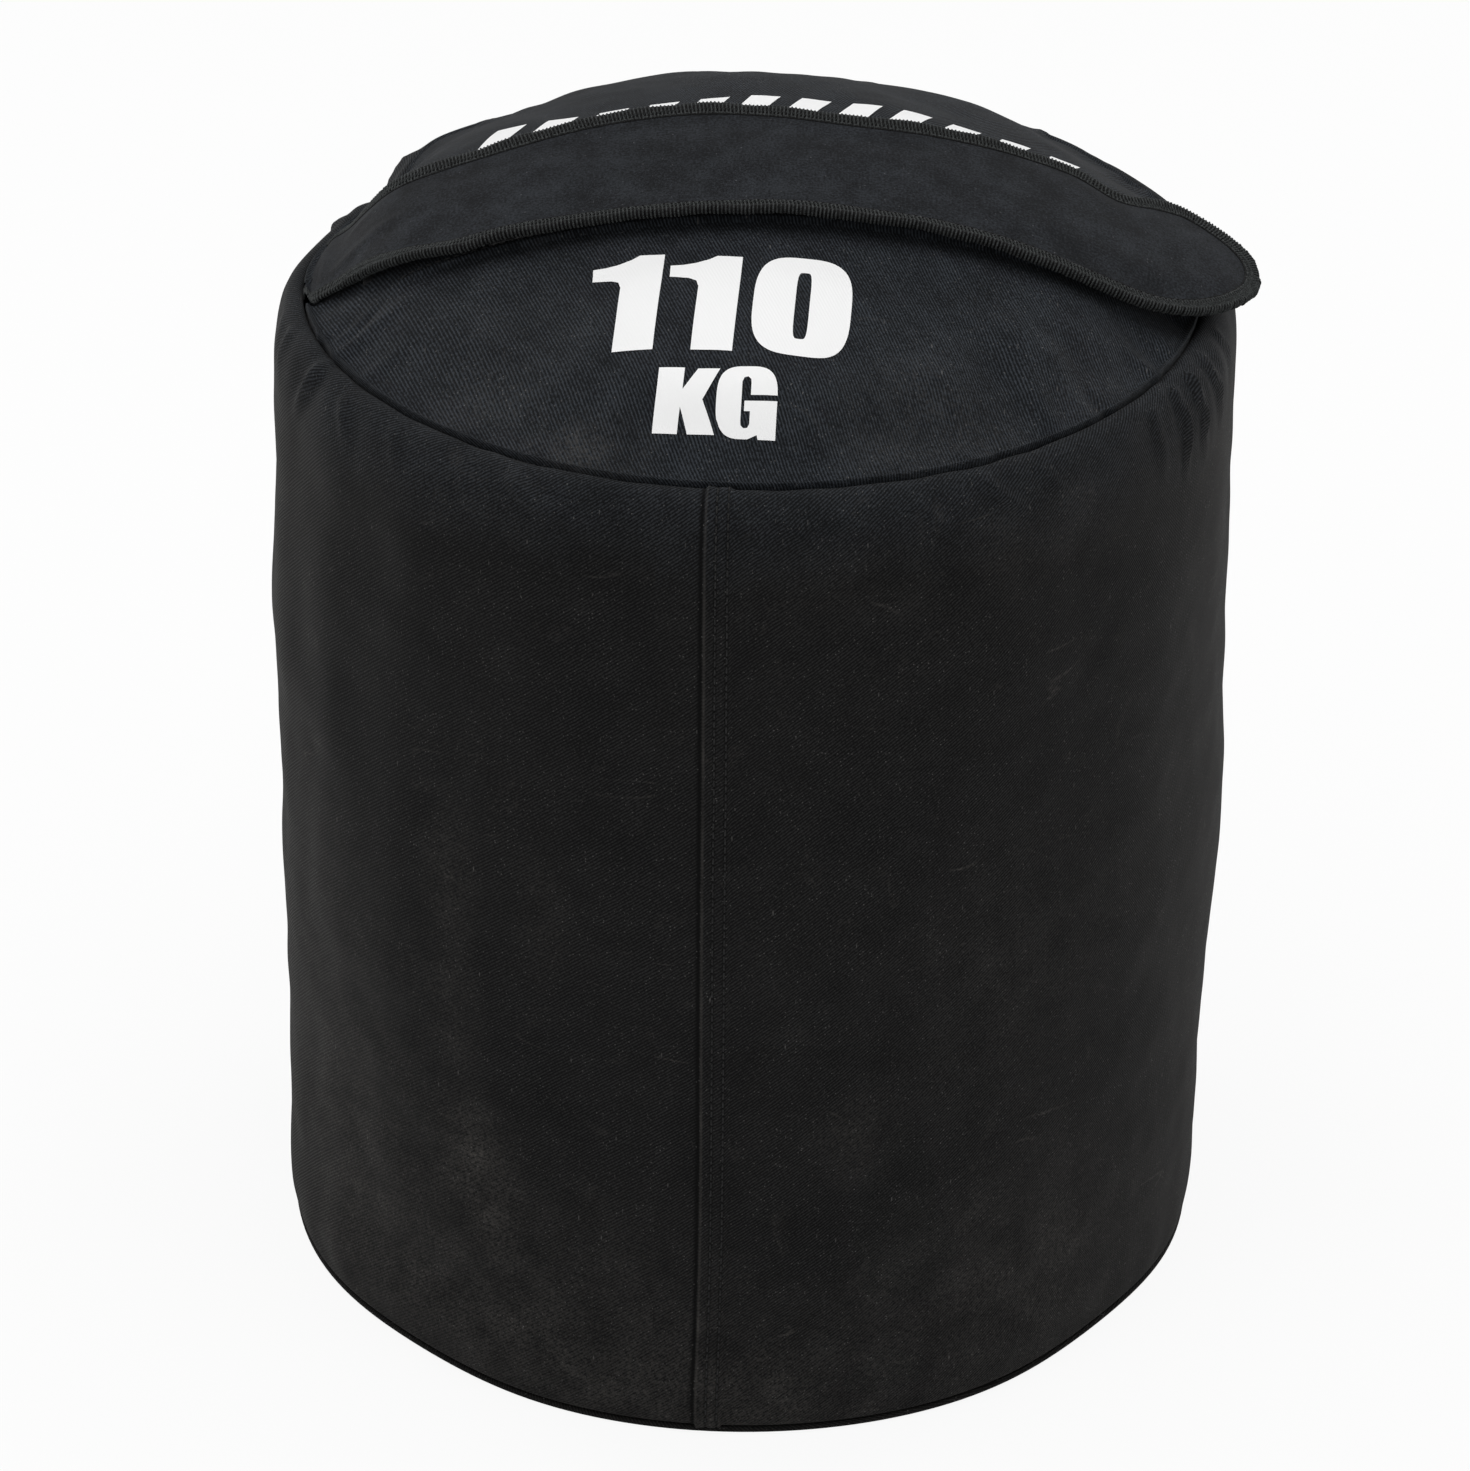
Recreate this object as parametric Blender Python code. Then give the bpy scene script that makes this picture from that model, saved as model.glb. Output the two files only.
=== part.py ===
# Strength training sandbag: a sewn cloth drum full of sand, closed by a zip under a long cover flap.
# Metres, +Z up. The origin is the middle of the base, on the floor. -Y is the front, where the wall
# is joined by a felled seam. +X is the free tip of the flap, and -X is its sewn end.
import math

import bmesh
import bpy
from mathutils import Vector

# The filled drum
BODY_RADIUS = 0.215  # widest part of the wall, outside
RIM_INSET = 0.016  # sewn line between the wall and the top panels, in from there
RIM_HEIGHT = 0.470  # that line above the floor
CROWN_RISE = 0.065  # middle of the top panels above the rim
BASE_INSET = 0.012  # sewn line between the wall and the base
SHOULDER_DROP = 0.034  # height in which the wall rolls in to the rim
EDGE_ROLL = 0.014  # radius in which a top panel rolls down into the rim
# Up the wall: share of RIM_HEIGHT, share of BODY_RADIUS
WALL_SHARES = ((0.10, 0.985), (0.26, 0.985), (0.50, 1.0), (0.76, 0.998))

# Cloth and sewing
CLOTH = 0.002  # coated canvas of the wall, base and top
ALLOWANCE = 0.012  # cloth turned in behind a seam
TURN = 0.0035  # outer radius of a seam's fold
SEAM_GAP = 0.0008  # between the two turned edges of a seam
CLEAR = 0.0003  # between pieces that lie on each other
CURVE_CLEAR = 0.0006  # the same, where both are curved
BINDING = 0.0012  # tape folded over the turned edges
BINDING_LEG = 0.007
LAP_WIDTH = 0.012  # felled seam down the front of the wall
LAP_RAISE = 0.0018
LAP_EASE = 0.001  # width in which the lap rises
LAP_ANGLE = math.radians(-95.3)
RING_STEPS = 40  # facets round the drum

# Slit across the top, its turned hems and its hook-and-loop tapes
SLIT_FORWARD = 0.028  # middle of the slit, in front of the middle of the crown
SLIT_HALF = 0.010
HEM_REACH = 0.034  # far edge of a hem from the middle of the slit
HEM_RAISE = 0.0024  # two more layers of cloth
HEM_END = 0.160  # the hems thin out to nothing this far along the slit
HEM_THIN_RUN = 0.022
HEM_STEP = 0.0015
# Rows of a top panel: how far each lies from its slit end to its rim end, then between hem and rim
ROW_SHARES = (0.0, 0.15, 0.3, 0.4, 0.6, 0.8)
PANEL_SHARES = (0.36, 0.7)
ROLL_SHARES = (0.0, 0.4, 0.75, 1.0)  # and round the rolled edge
TAPE_INSET = 0.001  # hook and loop tapes, in from the hem's edges
LOOP_TAPE = 0.0014
HOOK_TAPE = 0.0014
FASTENER_REACH = 0.114

# Zip, with moulded teeth
ZIP_TAPE = 0.001
ZIP_TAPE_WIDTH = 0.017
ZIP_EDGE = 0.002  # edge of a tape from the middle of the zip
ZIP_TAPE_REACH = 0.170
TEETH_REACH = 0.128
TOOTH_PITCH = 0.006
TOOTH_THICK = 0.0036
TOOTH_ROOT = 0.0043  # the teeth grip the tape out to here
TOOTH_HEAD = 0.0012  # and reach this far past the middle
TOOTH_ROOT_HALF = 0.0019
TOOTH_NECK_HALF = 0.0010
TOOTH_HEAD_HALF = 0.0013
TOOTH_WAIST = 0.0017
STOP_LENGTH = 0.006
STOP_HALF = 0.006

# Slider, measured from its middle: x towards the closed end of the zip
SLIDER_PLATE = 0.0014
SLIDER_ROOM = 0.0004  # free play round the teeth
SLIDER_NOSE = 0.010
SLIDER_TAIL = 0.009
SLIDER_FRONT_HALF = 0.0082
SLIDER_BACK_HALF = 0.0064
SLIDER_FLANGE = 0.0013
SLIDER_SHOULDER_SHARE = 0.6  # of the nose, where the front corners are cut
POST_HALF = 0.0014
POST_START = 0.002
POST_END = 0.008
BAIL_HALF = 0.0012
BAIL_HEIGHT = 0.0038
BAIL_BAR = 0.0014
BAIL_FOOT = 0.0018
BAIL_START = -0.007
BAIL_END = 0.005

# Pull tab
PULL_LENGTH = 0.024
PULL_HALF = 0.0042
PULL_NECK_HALF = 0.0031
PULL_THICK = 0.0015
PULL_SEAT = 0.0005  # above the slider's plate
PULL_BAR = 0.0016
EYE_LENGTH = 0.0075

# Cover flap
FLAP_WIDTH = 0.080
FLAP_HINGE_REACH = 0.190  # its sewn end, left of the middle
FLAP_TIP_REACH = 0.222  # its free tip, right of the middle
FLAP_STRAIGHT_REACH = 0.165  # past here it stands off in a straight line
FLAP_ROUND = 0.052  # length of the rounded tip
TIP_ANGLES = (17, 33, 48, 62, 75, 87)  # degrees round it
FLAP_COVER = 0.0014
FLAP_LINING = 0.0012
FLAP_RISE_RUN = 0.054  # length in which it climbs onto the tapes
ACROSS_SHARES = (0, 0.06, 0.125, 0.4, 0.6, 0.875, 0.94, 1)  # its columns of points
FLAP_CURL = 0.0015  # lift of its long edges
FLAP_CURL_WIDTH = 0.005
FLAP_SWAY = 0.022  # its sewn end lies this far behind the slit's line, its tip half as far
FLAP_SWAY_RUN = 0.082
FLAP_CORNER = 0.018  # cut off the front corner of its sewn end
FLAP_CORNER_RUN = 0.045
FLAP_JOINT_GAP = 0.0006  # between the moving flap and its sewn root
LINING_START = 0.010
OVERLOCK_START = 0.017
OVERLOCK_WIDTH = 0.006
OVERLOCK_THREAD = 0.0007
ROOT_THICK = 0.0014
ROOT_LAP = 0.008  # root under the flap's end
ROOT_SEAM_GAP = 0.0015  # root's lower edge from the rim
ROOT_INSET = 0.003  # root's sides, in from the flap's
ROOT_SHARES = (0.0, 0.2, 0.4, 0.7, 1.0)  # its rows of points, from the rim up

# Inner bag and its fill
LINER = 0.0010
LINER_CLEAR = 0.0012
LINER_STEPS = 20
LINER_CORNER_HEIGHT = 0.048
LINER_CORNER_RUN = 0.032
LINER_BASE_GAP = 0.0264  # its flat bottom, in from the base seam
LINER_TOP_DROP = 0.060  # below the rim, where the inner bag starts to roll in
LINER_RIM_GAP = 0.0114  # end of that roll, in from the rim seam
LINER_SHOULDER_RISE = 0.042
LINER_CROWN = 0.036  # above the rim
LINER_CROWN_REACH = 0.075  # the bag is highest here and dips towards its neck
NECK_RADIUS = 0.011
NECK_FOOT = 0.019  # above the rim
NECK_TIE = 0.034
RUFFLE_TOP = 0.047
RUFFLE_RADIUS = 0.021
NECK_BORE = 0.004
PLEAT_SHARE = 0.14
TIE_WIDTH = 0.005
TIE_THICK = 0.0022
FILL_CLEAR = 0.0006

# Worked out from the sizes above
RIM_RADIUS = BODY_RADIUS - RIM_INSET
BASE_RADIUS = BODY_RADIUS - BASE_INSET
PANEL_EDGE = RIM_RADIUS - SEAM_GAP / 2
ROLL_CENTRE = PANEL_EDGE - EDGE_ROLL
CROWN_BALL = (ROLL_CENTRE**2 + CROWN_RISE**2 - EDGE_ROLL**2) / (2 * (CROWN_RISE - EDGE_ROLL))
BALL_HEIGHT = RIM_HEIGHT + CROWN_RISE - CROWN_BALL
ROLL_START = math.atan2(ROLL_CENTRE, CROWN_BALL - CROWN_RISE)
CAP_REACH = CROWN_BALL * math.sin(ROLL_START)
SLIT_TILT = math.asin(SLIT_FORWARD / CROWN_BALL)
CHAIN_BALL = CROWN_BALL - CLOTH - CURVE_CLEAR - ZIP_TAPE / 2
LOOP_SEAT = HEM_RAISE + CURVE_CLEAR
FLAP_SEAT = LOOP_SEAT + LOOP_TAPE + CURVE_CLEAR + HOOK_TAPE + CURVE_CLEAR
FLAP_PLIES = FLAP_LINING + CLEAR + FLAP_COVER
FLAP_HINGE_LIFT = CURVE_CLEAR + ROOT_THICK + FLAP_JOINT_GAP - FLAP_LINING - CLEAR
SLIDER_CHANNEL = TOOTH_THICK / 2 + SLIDER_ROOM
SLIDER_TOP = SLIDER_CHANNEL + SLIDER_PLATE


def clear_scene():
    for obj in list(bpy.data.objects):
        bpy.data.objects.remove(obj)


def material(name, colour, roughness, metallic=0.0):
    made = bpy.data.materials.new(name)
    made.use_nodes = True
    shader = made.node_tree.nodes["Principled BSDF"]
    shader.inputs["Base Color"].default_value = (*colour, 1.0)
    shader.inputs["Roughness"].default_value = roughness
    shader.inputs["Metallic"].default_value = metallic
    made.diffuse_color = (*colour, 1.0)
    return made


def solid(name, points, faces, mat, parent=None, sharp=40):
    # One closed body from points and faces, facing out and shaded smooth up to the sharp angle
    mesh = bpy.data.meshes.new(name)
    mesh.from_pydata([tuple(p) for p in points], [], faces)
    editing = bmesh.new()
    editing.from_mesh(mesh)
    bmesh.ops.recalc_face_normals(editing, faces=editing.faces)
    editing.to_mesh(mesh)
    editing.free()
    mesh.shade_smooth()
    mesh.set_sharp_from_angle(angle=math.radians(sharp))
    mesh.materials.append(mat)
    obj = bpy.data.objects.new(name, mesh)
    obj.parent = parent
    bpy.context.scene.collection.objects.link(obj)
    return obj


def pivot(name, place, tilt=0.0, turn=0.0, parent=None):
    # Empty tilted about X or turned about Y, which is the axis of the joint that it stands for
    empty = bpy.data.objects.new(name, None)
    empty.location = place
    empty.rotation_euler = (tilt, turn, 0)
    empty.parent = parent
    bpy.context.scene.collection.objects.link(empty)
    return empty


def loft(sections, ring=False):
    # Skins loops of equal length. A ring joins its last loop to its first; otherwise the ends are capped
    count = len(sections[0])
    points = [p for section in sections for p in section]
    faces = []
    for i in range(len(sections) - (0 if ring else 1)):
        here, there = i * count, (i + 1) % len(sections) * count
        for j in range(count):
            k = (j + 1) % count
            faces.append((here + j, here + k, there + k, there + j))
    if not ring:
        faces.append(tuple(range(count)))
        faces.append(tuple(len(points) - 1 - j for j in range(count)))
    return points, faces


def slab(outer, inner):
    # Closed sheet of cloth between two grids of points with the same rows and columns
    rows, columns = len(outer), len(outer[0])
    points = [p for row in outer for p in row] + [p for row in inner for p in row]
    under = rows * columns
    faces = []
    for i in range(rows - 1):
        for j in range(columns - 1):
            a, b = i * columns + j, (i + 1) * columns + j
            faces.append((a, a + 1, b + 1, b))
            faces.append((under + a, under + b, under + b + 1, under + a + 1))
    rim = [(0, j) for j in range(columns)]
    rim += [(i, columns - 1) for i in range(1, rows)]
    rim += [(rows - 1, j) for j in range(columns - 2, -1, -1)]
    rim += [(i, 0) for i in range(rows - 2, 0, -1)]
    edge = [i * columns + j for i, j in rim]
    for a, b in zip(edge, edge[1:] + edge[:1]):
        faces.append((a, b, under + b, under + a))
    return points, faces


def turned(path, angles):
    # Solid of revolution. The path starts and ends on the axis
    points = [Vector((0, 0, path[0][1])), Vector((0, 0, path[-1][1]))]
    body = path[1:-1]
    count = len(body)
    for angle in angles:
        points += [around(r, z, angle) for r, z in body]
    faces = []
    for i in range(len(angles)):
        here, there = 2 + i * count, 2 + (i + 1) % len(angles) * count
        faces.append((0, here, there))
        faces.append((1, there + count - 1, here + count - 1))
        for j in range(count - 1):
            faces.append((here + j, here + j + 1, there + j + 1, there + j))
    return points, faces


def around(r, z, angle):
    return Vector((r * math.cos(angle), r * math.sin(angle), z))


def ring_angles(steps=RING_STEPS):
    return [2 * math.pi * i / steps for i in range(steps)]


def arc(centre_r, centre_z, radius, start, end, steps, height=None):
    # Points from one angle to another on a circle, or on an ellipse of that height, in the (r, z) plane
    tall = radius if height is None else height
    return [
        (centre_r + radius * math.cos(math.radians(start + (end - start) * i / steps)),
         centre_z + tall * math.sin(math.radians(start + (end - start) * i / steps)))
        for i in range(steps + 1)
    ]


def offset(path, distance):
    # The path moved to its left by a distance
    moved = []
    for i, (r, z) in enumerate(path):
        before, after = path[max(i - 1, 0)], path[min(i + 1, len(path) - 1)]
        along = Vector((after[0] - before[0], after[1] - before[1])).normalized()
        moved.append((r - along.y * distance, z + along.x * distance))
    return moved


def smooth(share):
    share = min(max(share, 0.0), 1.0)
    return share * share * (3 - 2 * share)


def crown_point(x, y, lift=0.0):
    # Point over a plan position of the top panels, raised square to their outer face
    reach = math.hypot(x, y)
    if reach <= CAP_REACH:
        scale = (CROWN_BALL + lift) / CROWN_BALL
        up = math.sqrt(CROWN_BALL**2 - reach**2)
        return Vector((x * scale, y * scale, BALL_HEIGHT + up * scale))
    tilt = math.asin(min(1.0, (reach - ROLL_CENTRE) / EDGE_ROLL))
    out = ROLL_CENTRE + (EDGE_ROLL + lift) * math.sin(tilt)
    return Vector((x / reach * out, y / reach * out, RIM_HEIGHT + (EDGE_ROLL + lift) * math.cos(tilt)))


def slit_middle(x):
    # How far in front of the drum's middle the slit runs, at that x
    return math.sin(SLIT_TILT) * math.sqrt(CROWN_BALL**2 - x**2)


def chain_point(along, y, ball):
    # Point of the zip from the crown's centre: along its curve, y across, on a ball of that radius
    angle = along / CHAIN_BALL
    reach = math.sqrt(ball**2 - y**2)
    return Vector((reach * math.sin(angle), y, reach * math.cos(angle)))


def chain_length(reach):
    # Length along the zip from the top of the crown to a place that far out
    return CHAIN_BALL * math.asin(reach / CHAIN_BALL)


def wall_path():
    # Right side of the wall's cloth, from the turned edge at the base to the one at the rim
    foot = BASE_RADIUS + SEAM_GAP / 2
    top = RIM_RADIUS + SEAM_GAP / 2
    path = [(foot, ALLOWANCE)]
    path += arc(foot + TURN, TURN + CLEAR, TURN, 180, 360, 4)
    path += [(BODY_RADIUS * wide, RIM_HEIGHT * high) for high, wide in WALL_SHARES]
    roll = BODY_RADIUS * WALL_SHARES[-1][1] - top - TURN
    path += arc(top + TURN, RIM_HEIGHT + TURN - SHOULDER_DROP, roll, 0, 90, 4, SHOULDER_DROP)
    path += arc(top + TURN, RIM_HEIGHT, TURN, 135, 180, 1)
    path.append((top, RIM_HEIGHT - ALLOWANCE))
    return path


def wall_angles():
    half, ease = LAP_WIDTH / 2 / BODY_RADIUS, LAP_EASE / BODY_RADIUS
    edges = [LAP_ANGLE + side * (half + extra) for side in (-1, 1) for extra in (0.0, ease)]
    angles = sorted(a % (2 * math.pi) for a in ring_angles() + edges)
    return [a for a, b in zip(angles, angles[1:] + [angles[0] + 2 * math.pi]) if b - a > ease / 2]


def make_side_wall(mat):
    outer = wall_path()
    inner = offset(outer, CLOTH)
    turned_in = {0, 1, len(outer) - 2, len(outer) - 1}
    # The wrong side of the cloth needs fewer points up the wall
    spare = {2, 4, 7, 9, 11, 13, 15}
    back = [p for i, p in enumerate(inner) if i not in spare][::-1]
    sections = []
    for angle in wall_angles():
        away = abs((angle - LAP_ANGLE + math.pi) % (2 * math.pi) - math.pi) * BODY_RADIUS
        raised = LAP_RAISE if away < (LAP_WIDTH + LAP_EASE) / 2 else 0.0
        front = [
            around(r + (0.0 if i in turned_in else raised), z, angle) for i, (r, z) in enumerate(outer)
        ]
        sections.append(front + [around(r, z, angle) for r, z in back])
    return solid("side_wall", *loft(sections, ring=True), mat)


def make_base_panel(mat):
    edge = BASE_RADIUS - SEAM_GAP / 2
    outer = [(0.0, 0.0)] + arc(edge - TURN, TURN, TURN, 270, 360, 2) + [(edge, ALLOWANCE)]
    inner = offset(outer, CLOTH)
    inner[0] = (0.0, CLOTH)
    return solid("base_panel", *turned(outer + inner[::-1], ring_angles()), mat)


def binding_ring(name, sewn_radius, edge_height, inward, mat):
    # Tape folded over both turned edges of a seam. inward is 1 where the edges point up, -1 where down
    hold = SEAM_GAP / 2 + CLOTH + SEAM_GAP
    section = [
        (-hold - BINDING, -BINDING_LEG), (-hold - BINDING, CLEAR + BINDING),
        (hold + BINDING, CLEAR + BINDING), (hold + BINDING, -BINDING_LEG),
        (hold, -BINDING_LEG), (hold, CLEAR), (-hold, CLEAR), (-hold, -BINDING_LEG),
    ]
    sections = [
        [around(sewn_radius + r, edge_height + inward * z, angle) for r, z in section]
        for angle in ring_angles()
    ]
    return solid(name, *loft(sections, ring=True), mat)


def panel_plan(side):
    # Plan positions of a top panel: rows from the slit out to the rim, each from +X to -X
    first = math.asin((SLIT_HALF + side * slit_middle(CAP_REACH)) / CAP_REACH)
    step = 2 * math.pi / RING_STEPS
    between = [step * i for i in range(-1, RING_STEPS // 2 + 2)]
    angles = [a for a in between if first + step / 3 < a < math.pi - first - step / 3]
    rows = [[] for _ in range(len(ROW_SHARES) + len(ROLL_SHARES))]
    for angle in [first, *angles, math.pi - first]:
        far_x, far_y = CAP_REACH * math.cos(angle), CAP_REACH * math.sin(angle)
        near_x = far_x * (CAP_REACH - EDGE_ROLL) / CAP_REACH
        far = far_y - side * slit_middle(far_x)
        hem = min(HEM_REACH, (SLIT_HALF + far) / 2)
        depths = [SLIT_HALF, (SLIT_HALF + hem) / 2, hem, min(hem + HEM_STEP, far)]
        depths += [depths[-1] + (far - depths[-1]) * share for share in PANEL_SHARES]
        for row, depth, share in zip(rows, depths, ROW_SHARES):
            x = near_x + (far_x - near_x) * share
            row.append((x, -side * (depth + side * slit_middle(x))))
        for row, share in zip(rows[len(ROW_SHARES):], ROLL_SHARES):
            tilt = ROLL_START + (math.pi / 2 - ROLL_START) * share
            out = ROLL_CENTRE + EDGE_ROLL * math.sin(tilt)
            row.append((out * math.cos(angle), -side * out * math.sin(angle)))
    return rows


def hem_lift(x, row):
    # The hem stands up on the rows next to the slit, and thins out towards the rim
    return HEM_RAISE * smooth((HEM_END - abs(x)) / HEM_THIN_RUN) if row < 3 else 0.0


def make_top_panel(name, side, mat):
    # side is 1 for the front half, -1 for the rear half
    plan = panel_plan(side)
    outer = [[crown_point(x, y, hem_lift(x, i)) for x, y in row] for i, row in enumerate(plan)]
    inner = [[crown_point(x, y, -CLOTH) for x, y in row] for row in plan]
    drop = Vector((0, 0, -ALLOWANCE))
    outer.append([p + drop for p in outer[-1]])
    inner.append([p + drop for p in inner[-1]])
    return solid(name, *slab(outer, inner), mat)


def make_loop_tape(name, side, mat, parent):
    near, far = SLIT_HALF + TAPE_INSET, HEM_REACH - TAPE_INSET
    across = (near, (near + far) / 2, far)
    inner_ball = CROWN_BALL + LOOP_SEAT
    ends = chain_length(FASTENER_REACH)
    sections = []
    for i in range(15):
        along = ends * (i / 7 - 1)
        under = [chain_point(along, -side * y, inner_ball) for y in across]
        over = [chain_point(along, -side * y, inner_ball + LOOP_TAPE) for y in across]
        sections.append(under + over[::-1])
    return solid(name, *loft(sections), mat, parent)


def tooth(along, side):
    # Outline of one tooth across the tape's edge, thick enough for the slider's channel
    outline = [
        (-TOOTH_ROOT_HALF, TOOTH_ROOT), (TOOTH_ROOT_HALF, TOOTH_ROOT),
        (TOOTH_NECK_HALF, TOOTH_WAIST), (TOOTH_HEAD_HALF, -TOOTH_HEAD),
        (-TOOTH_HEAD_HALF, -TOOTH_HEAD), (-TOOTH_NECK_HALF, TOOTH_WAIST),
    ]
    return [
        [chain_point(along + u, -side * y, CHAIN_BALL + half * TOOTH_THICK / 2) for u, y in outline]
        for half in (-1, 1)
    ]


def make_stringer(name, side, tape_mat, tooth_mat, parent):
    # Half of the zip: a tape with its row of teeth, and a stop at the closed end
    reach = chain_length(ZIP_TAPE_REACH)
    sections = []
    for i in range(17):
        along = reach * (i / 8 - 1)
        sections.append([
            chain_point(along, -side * y, CHAIN_BALL + half * ZIP_TAPE / 2)
            for y, half in ((ZIP_EDGE, -1), (ZIP_EDGE + ZIP_TAPE_WIDTH, -1),
                            (ZIP_EDGE + ZIP_TAPE_WIDTH, 1), (ZIP_EDGE, 1))
        ])
    tape = solid(name, *loft(sections), tape_mat, parent)
    tape.data.materials.append(tooth_mat)
    length = chain_length(TEETH_REACH)
    count = int(2 * length / TOOTH_PITCH)
    shift = TOOTH_PITCH / 4 * side
    points, faces = [], []
    for i in range(count):
        add_body(points, faces, *loft(tooth(-length + TOOTH_PITCH * (i + 0.5) + shift, side)))
    add_body(points, faces, *loft(end_stop(side)))
    teeth = solid(name + "_teeth", points, faces, tooth_mat, parent)
    join(tape, [teeth])
    return tape


def end_stop(side):
    # Block that the slider meets at the closed end
    start = chain_length(TEETH_REACH) + SLIDER_NOSE + CLEAR
    spots = ((start, ZIP_EDGE - CLEAR), (start + TOOTH_ROOT, ZIP_EDGE - CLEAR),
             (start + TOOTH_ROOT, TOOTH_ROOT + CLEAR), (start, TOOTH_ROOT + CLEAR))
    return [
        [chain_point(u, -side * y, CHAIN_BALL + half * TOOTH_THICK / 2) for u, y in spots]
        for half in (-1, 1)
    ]


def add_body(points, faces, more_points, more_faces):
    start = len(points)
    points += more_points
    faces += [tuple(start + i for i in face) for face in more_faces]


def join(target, helpers, operation="UNION"):
    # Joins or cuts with helper shapes, which are hidden
    for helper in helpers:
        helper.hide_render = True
        helper.display_type = "WIRE"
        modifier = target.modifiers.new(helper.name, "BOOLEAN")
        modifier.operation = operation
        modifier.object = helper


def make_bottom_stop(mat, parent):
    # Clamp over both tapes at the open end: a plate above, a plate below and a web between
    web, half = ZIP_EDGE - CLEAR * 2, STOP_HALF
    grip = ZIP_TAPE / 2 + CLEAR
    outline = [
        (-half, grip), (-web, grip), (-web, -grip), (-half, -grip),
        (-half, -grip - SLIDER_PLATE), (half, -grip - SLIDER_PLATE), (half, -grip),
        (web, -grip), (web, grip), (half, grip),
        (half, grip + SLIDER_PLATE), (-half, grip + SLIDER_PLATE),
    ]
    start = -chain_length(TEETH_REACH) - TOOTH_PITCH
    sections = [
        [chain_point(along, y, CHAIN_BALL + w) for y, w in outline]
        for along in (start - STOP_LENGTH, start)
    ]
    return solid("zip_bottom_stop", *loft(sections), mat, parent)


def prism(name, outline, low, high, mat, parent, upright=False):
    # Outline in (x, y) pulled from low to high along z, or in (x, z) pulled along y
    if upright:
        ends = [[Vector((x, level, z)) for x, z in outline] for level in (low, high)]
    else:
        ends = [[Vector((x, y, level)) for x, y in outline] for level in (low, high)]
    return solid(name, *loft(ends), mat, parent)


def slider_outline(inset=0.0):
    front, back = SLIDER_FRONT_HALF - inset, SLIDER_BACK_HALF - inset
    waist = (front + back) / 2
    right = [(SLIDER_NOSE - inset, front / 2), (SLIDER_NOSE * SLIDER_SHOULDER_SHARE, front),
             (0.0, waist), (inset - SLIDER_TAIL, back)]
    return right + [(x, -y) for x, y in reversed(right)]


def make_slider(mat, parent):
    low, high = CHAIN_BALL - SLIDER_TOP, CHAIN_BALL + SLIDER_TOP
    slot = ZIP_TAPE / 2 + SLIDER_ROOM
    body = prism("zip_slider", slider_outline(), CHAIN_BALL + SLIDER_CHANNEL, high, mat, parent)
    bottom = prism("slider_bottom", slider_outline(), low, CHAIN_BALL - SLIDER_CHANNEL, mat, parent)
    middle = (POST_START + POST_END) / 2
    post_outline = [(POST_START, 0.0), (middle, -POST_HALF), (POST_END, 0.0), (middle, POST_HALF)]
    buried_low, buried_high = low + SLIDER_PLATE / 2, high - SLIDER_PLATE / 2
    post = prism("slider_post", post_outline, buried_low, buried_high, mat, parent)
    rims = []
    for side in (1, -1):
        strip = [p for p in slider_outline() if p[1] * side > 0]
        inner = [p for p in slider_outline(SLIDER_FLANGE) if p[1] * side > 0]
        # The nose stays open for the two rows of teeth
        rim = strip[1:] + inner[:0:-1] if side > 0 else strip[:-1] + inner[-2::-1]
        rims.append(prism(f"slider_rim_top_{side}", rim, CHAIN_BALL + slot, buried_high, mat, parent))
        rims.append(prism(f"slider_rim_low_{side}", rim, buried_low, CHAIN_BALL - slot, mat, parent))
    roof = high + BAIL_HEIGHT
    under = roof - BAIL_BAR
    bail_outline = [
        (BAIL_START, buried_high), (BAIL_START, under), (BAIL_START + BAIL_BAR, roof),
        (BAIL_END - BAIL_BAR, roof), (BAIL_END, under), (BAIL_END, buried_high),
        (BAIL_END - BAIL_FOOT, buried_high), (BAIL_END - BAIL_FOOT, under),
        (BAIL_START + BAIL_FOOT, under), (BAIL_START + BAIL_FOOT, buried_high),
    ]
    bail = prism("slider_bail", bail_outline, -BAIL_HALF, BAIL_HALF, mat, parent, upright=True)
    join(body, [post, bottom, *rims, bail])
    return body


def make_pull(mat, parent):
    # The tab lies back over the closed teeth. Its origin is the middle of the bar under the bail
    bar = PULL_BAR / 2
    end = bar - PULL_LENGTH
    neck = bar - EYE_LENGTH - PULL_BAR
    half = [(bar, PULL_NECK_HALF), (neck, PULL_NECK_HALF), (neck - PULL_BAR, PULL_HALF),
            (end + PULL_BAR, PULL_HALF), (end, PULL_HALF - PULL_BAR)]
    outline = half + [(x, -y) for x, y in reversed(half)]
    tab = prism("zip_pull", outline, -PULL_THICK / 2, PULL_THICK / 2, mat, parent)
    side = BAIL_HALF + SLIDER_ROOM
    hole = [(-bar, side), (-bar - EYE_LENGTH, side), (-bar - EYE_LENGTH, -side), (-bar, -side)]
    eye = prism("pull_eye", hole, -PULL_THICK, PULL_THICK, mat, parent)
    join(tab, [eye], "DIFFERENCE")
    return tab


def flap_start():
    return -math.asin(FLAP_HINGE_REACH / CROWN_BALL)


def flap_bend_length():
    return CROWN_BALL * (math.asin(FLAP_STRAIGHT_REACH / CROWN_BALL) - flap_start())


def flap_length():
    angle = math.asin(FLAP_STRAIGHT_REACH / CROWN_BALL)
    reach = (CROWN_BALL + FLAP_SEAT + FLAP_PLIES / 2) * math.sin(angle)
    return flap_bend_length() + (FLAP_TIP_REACH - reach) / math.cos(angle)


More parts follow.
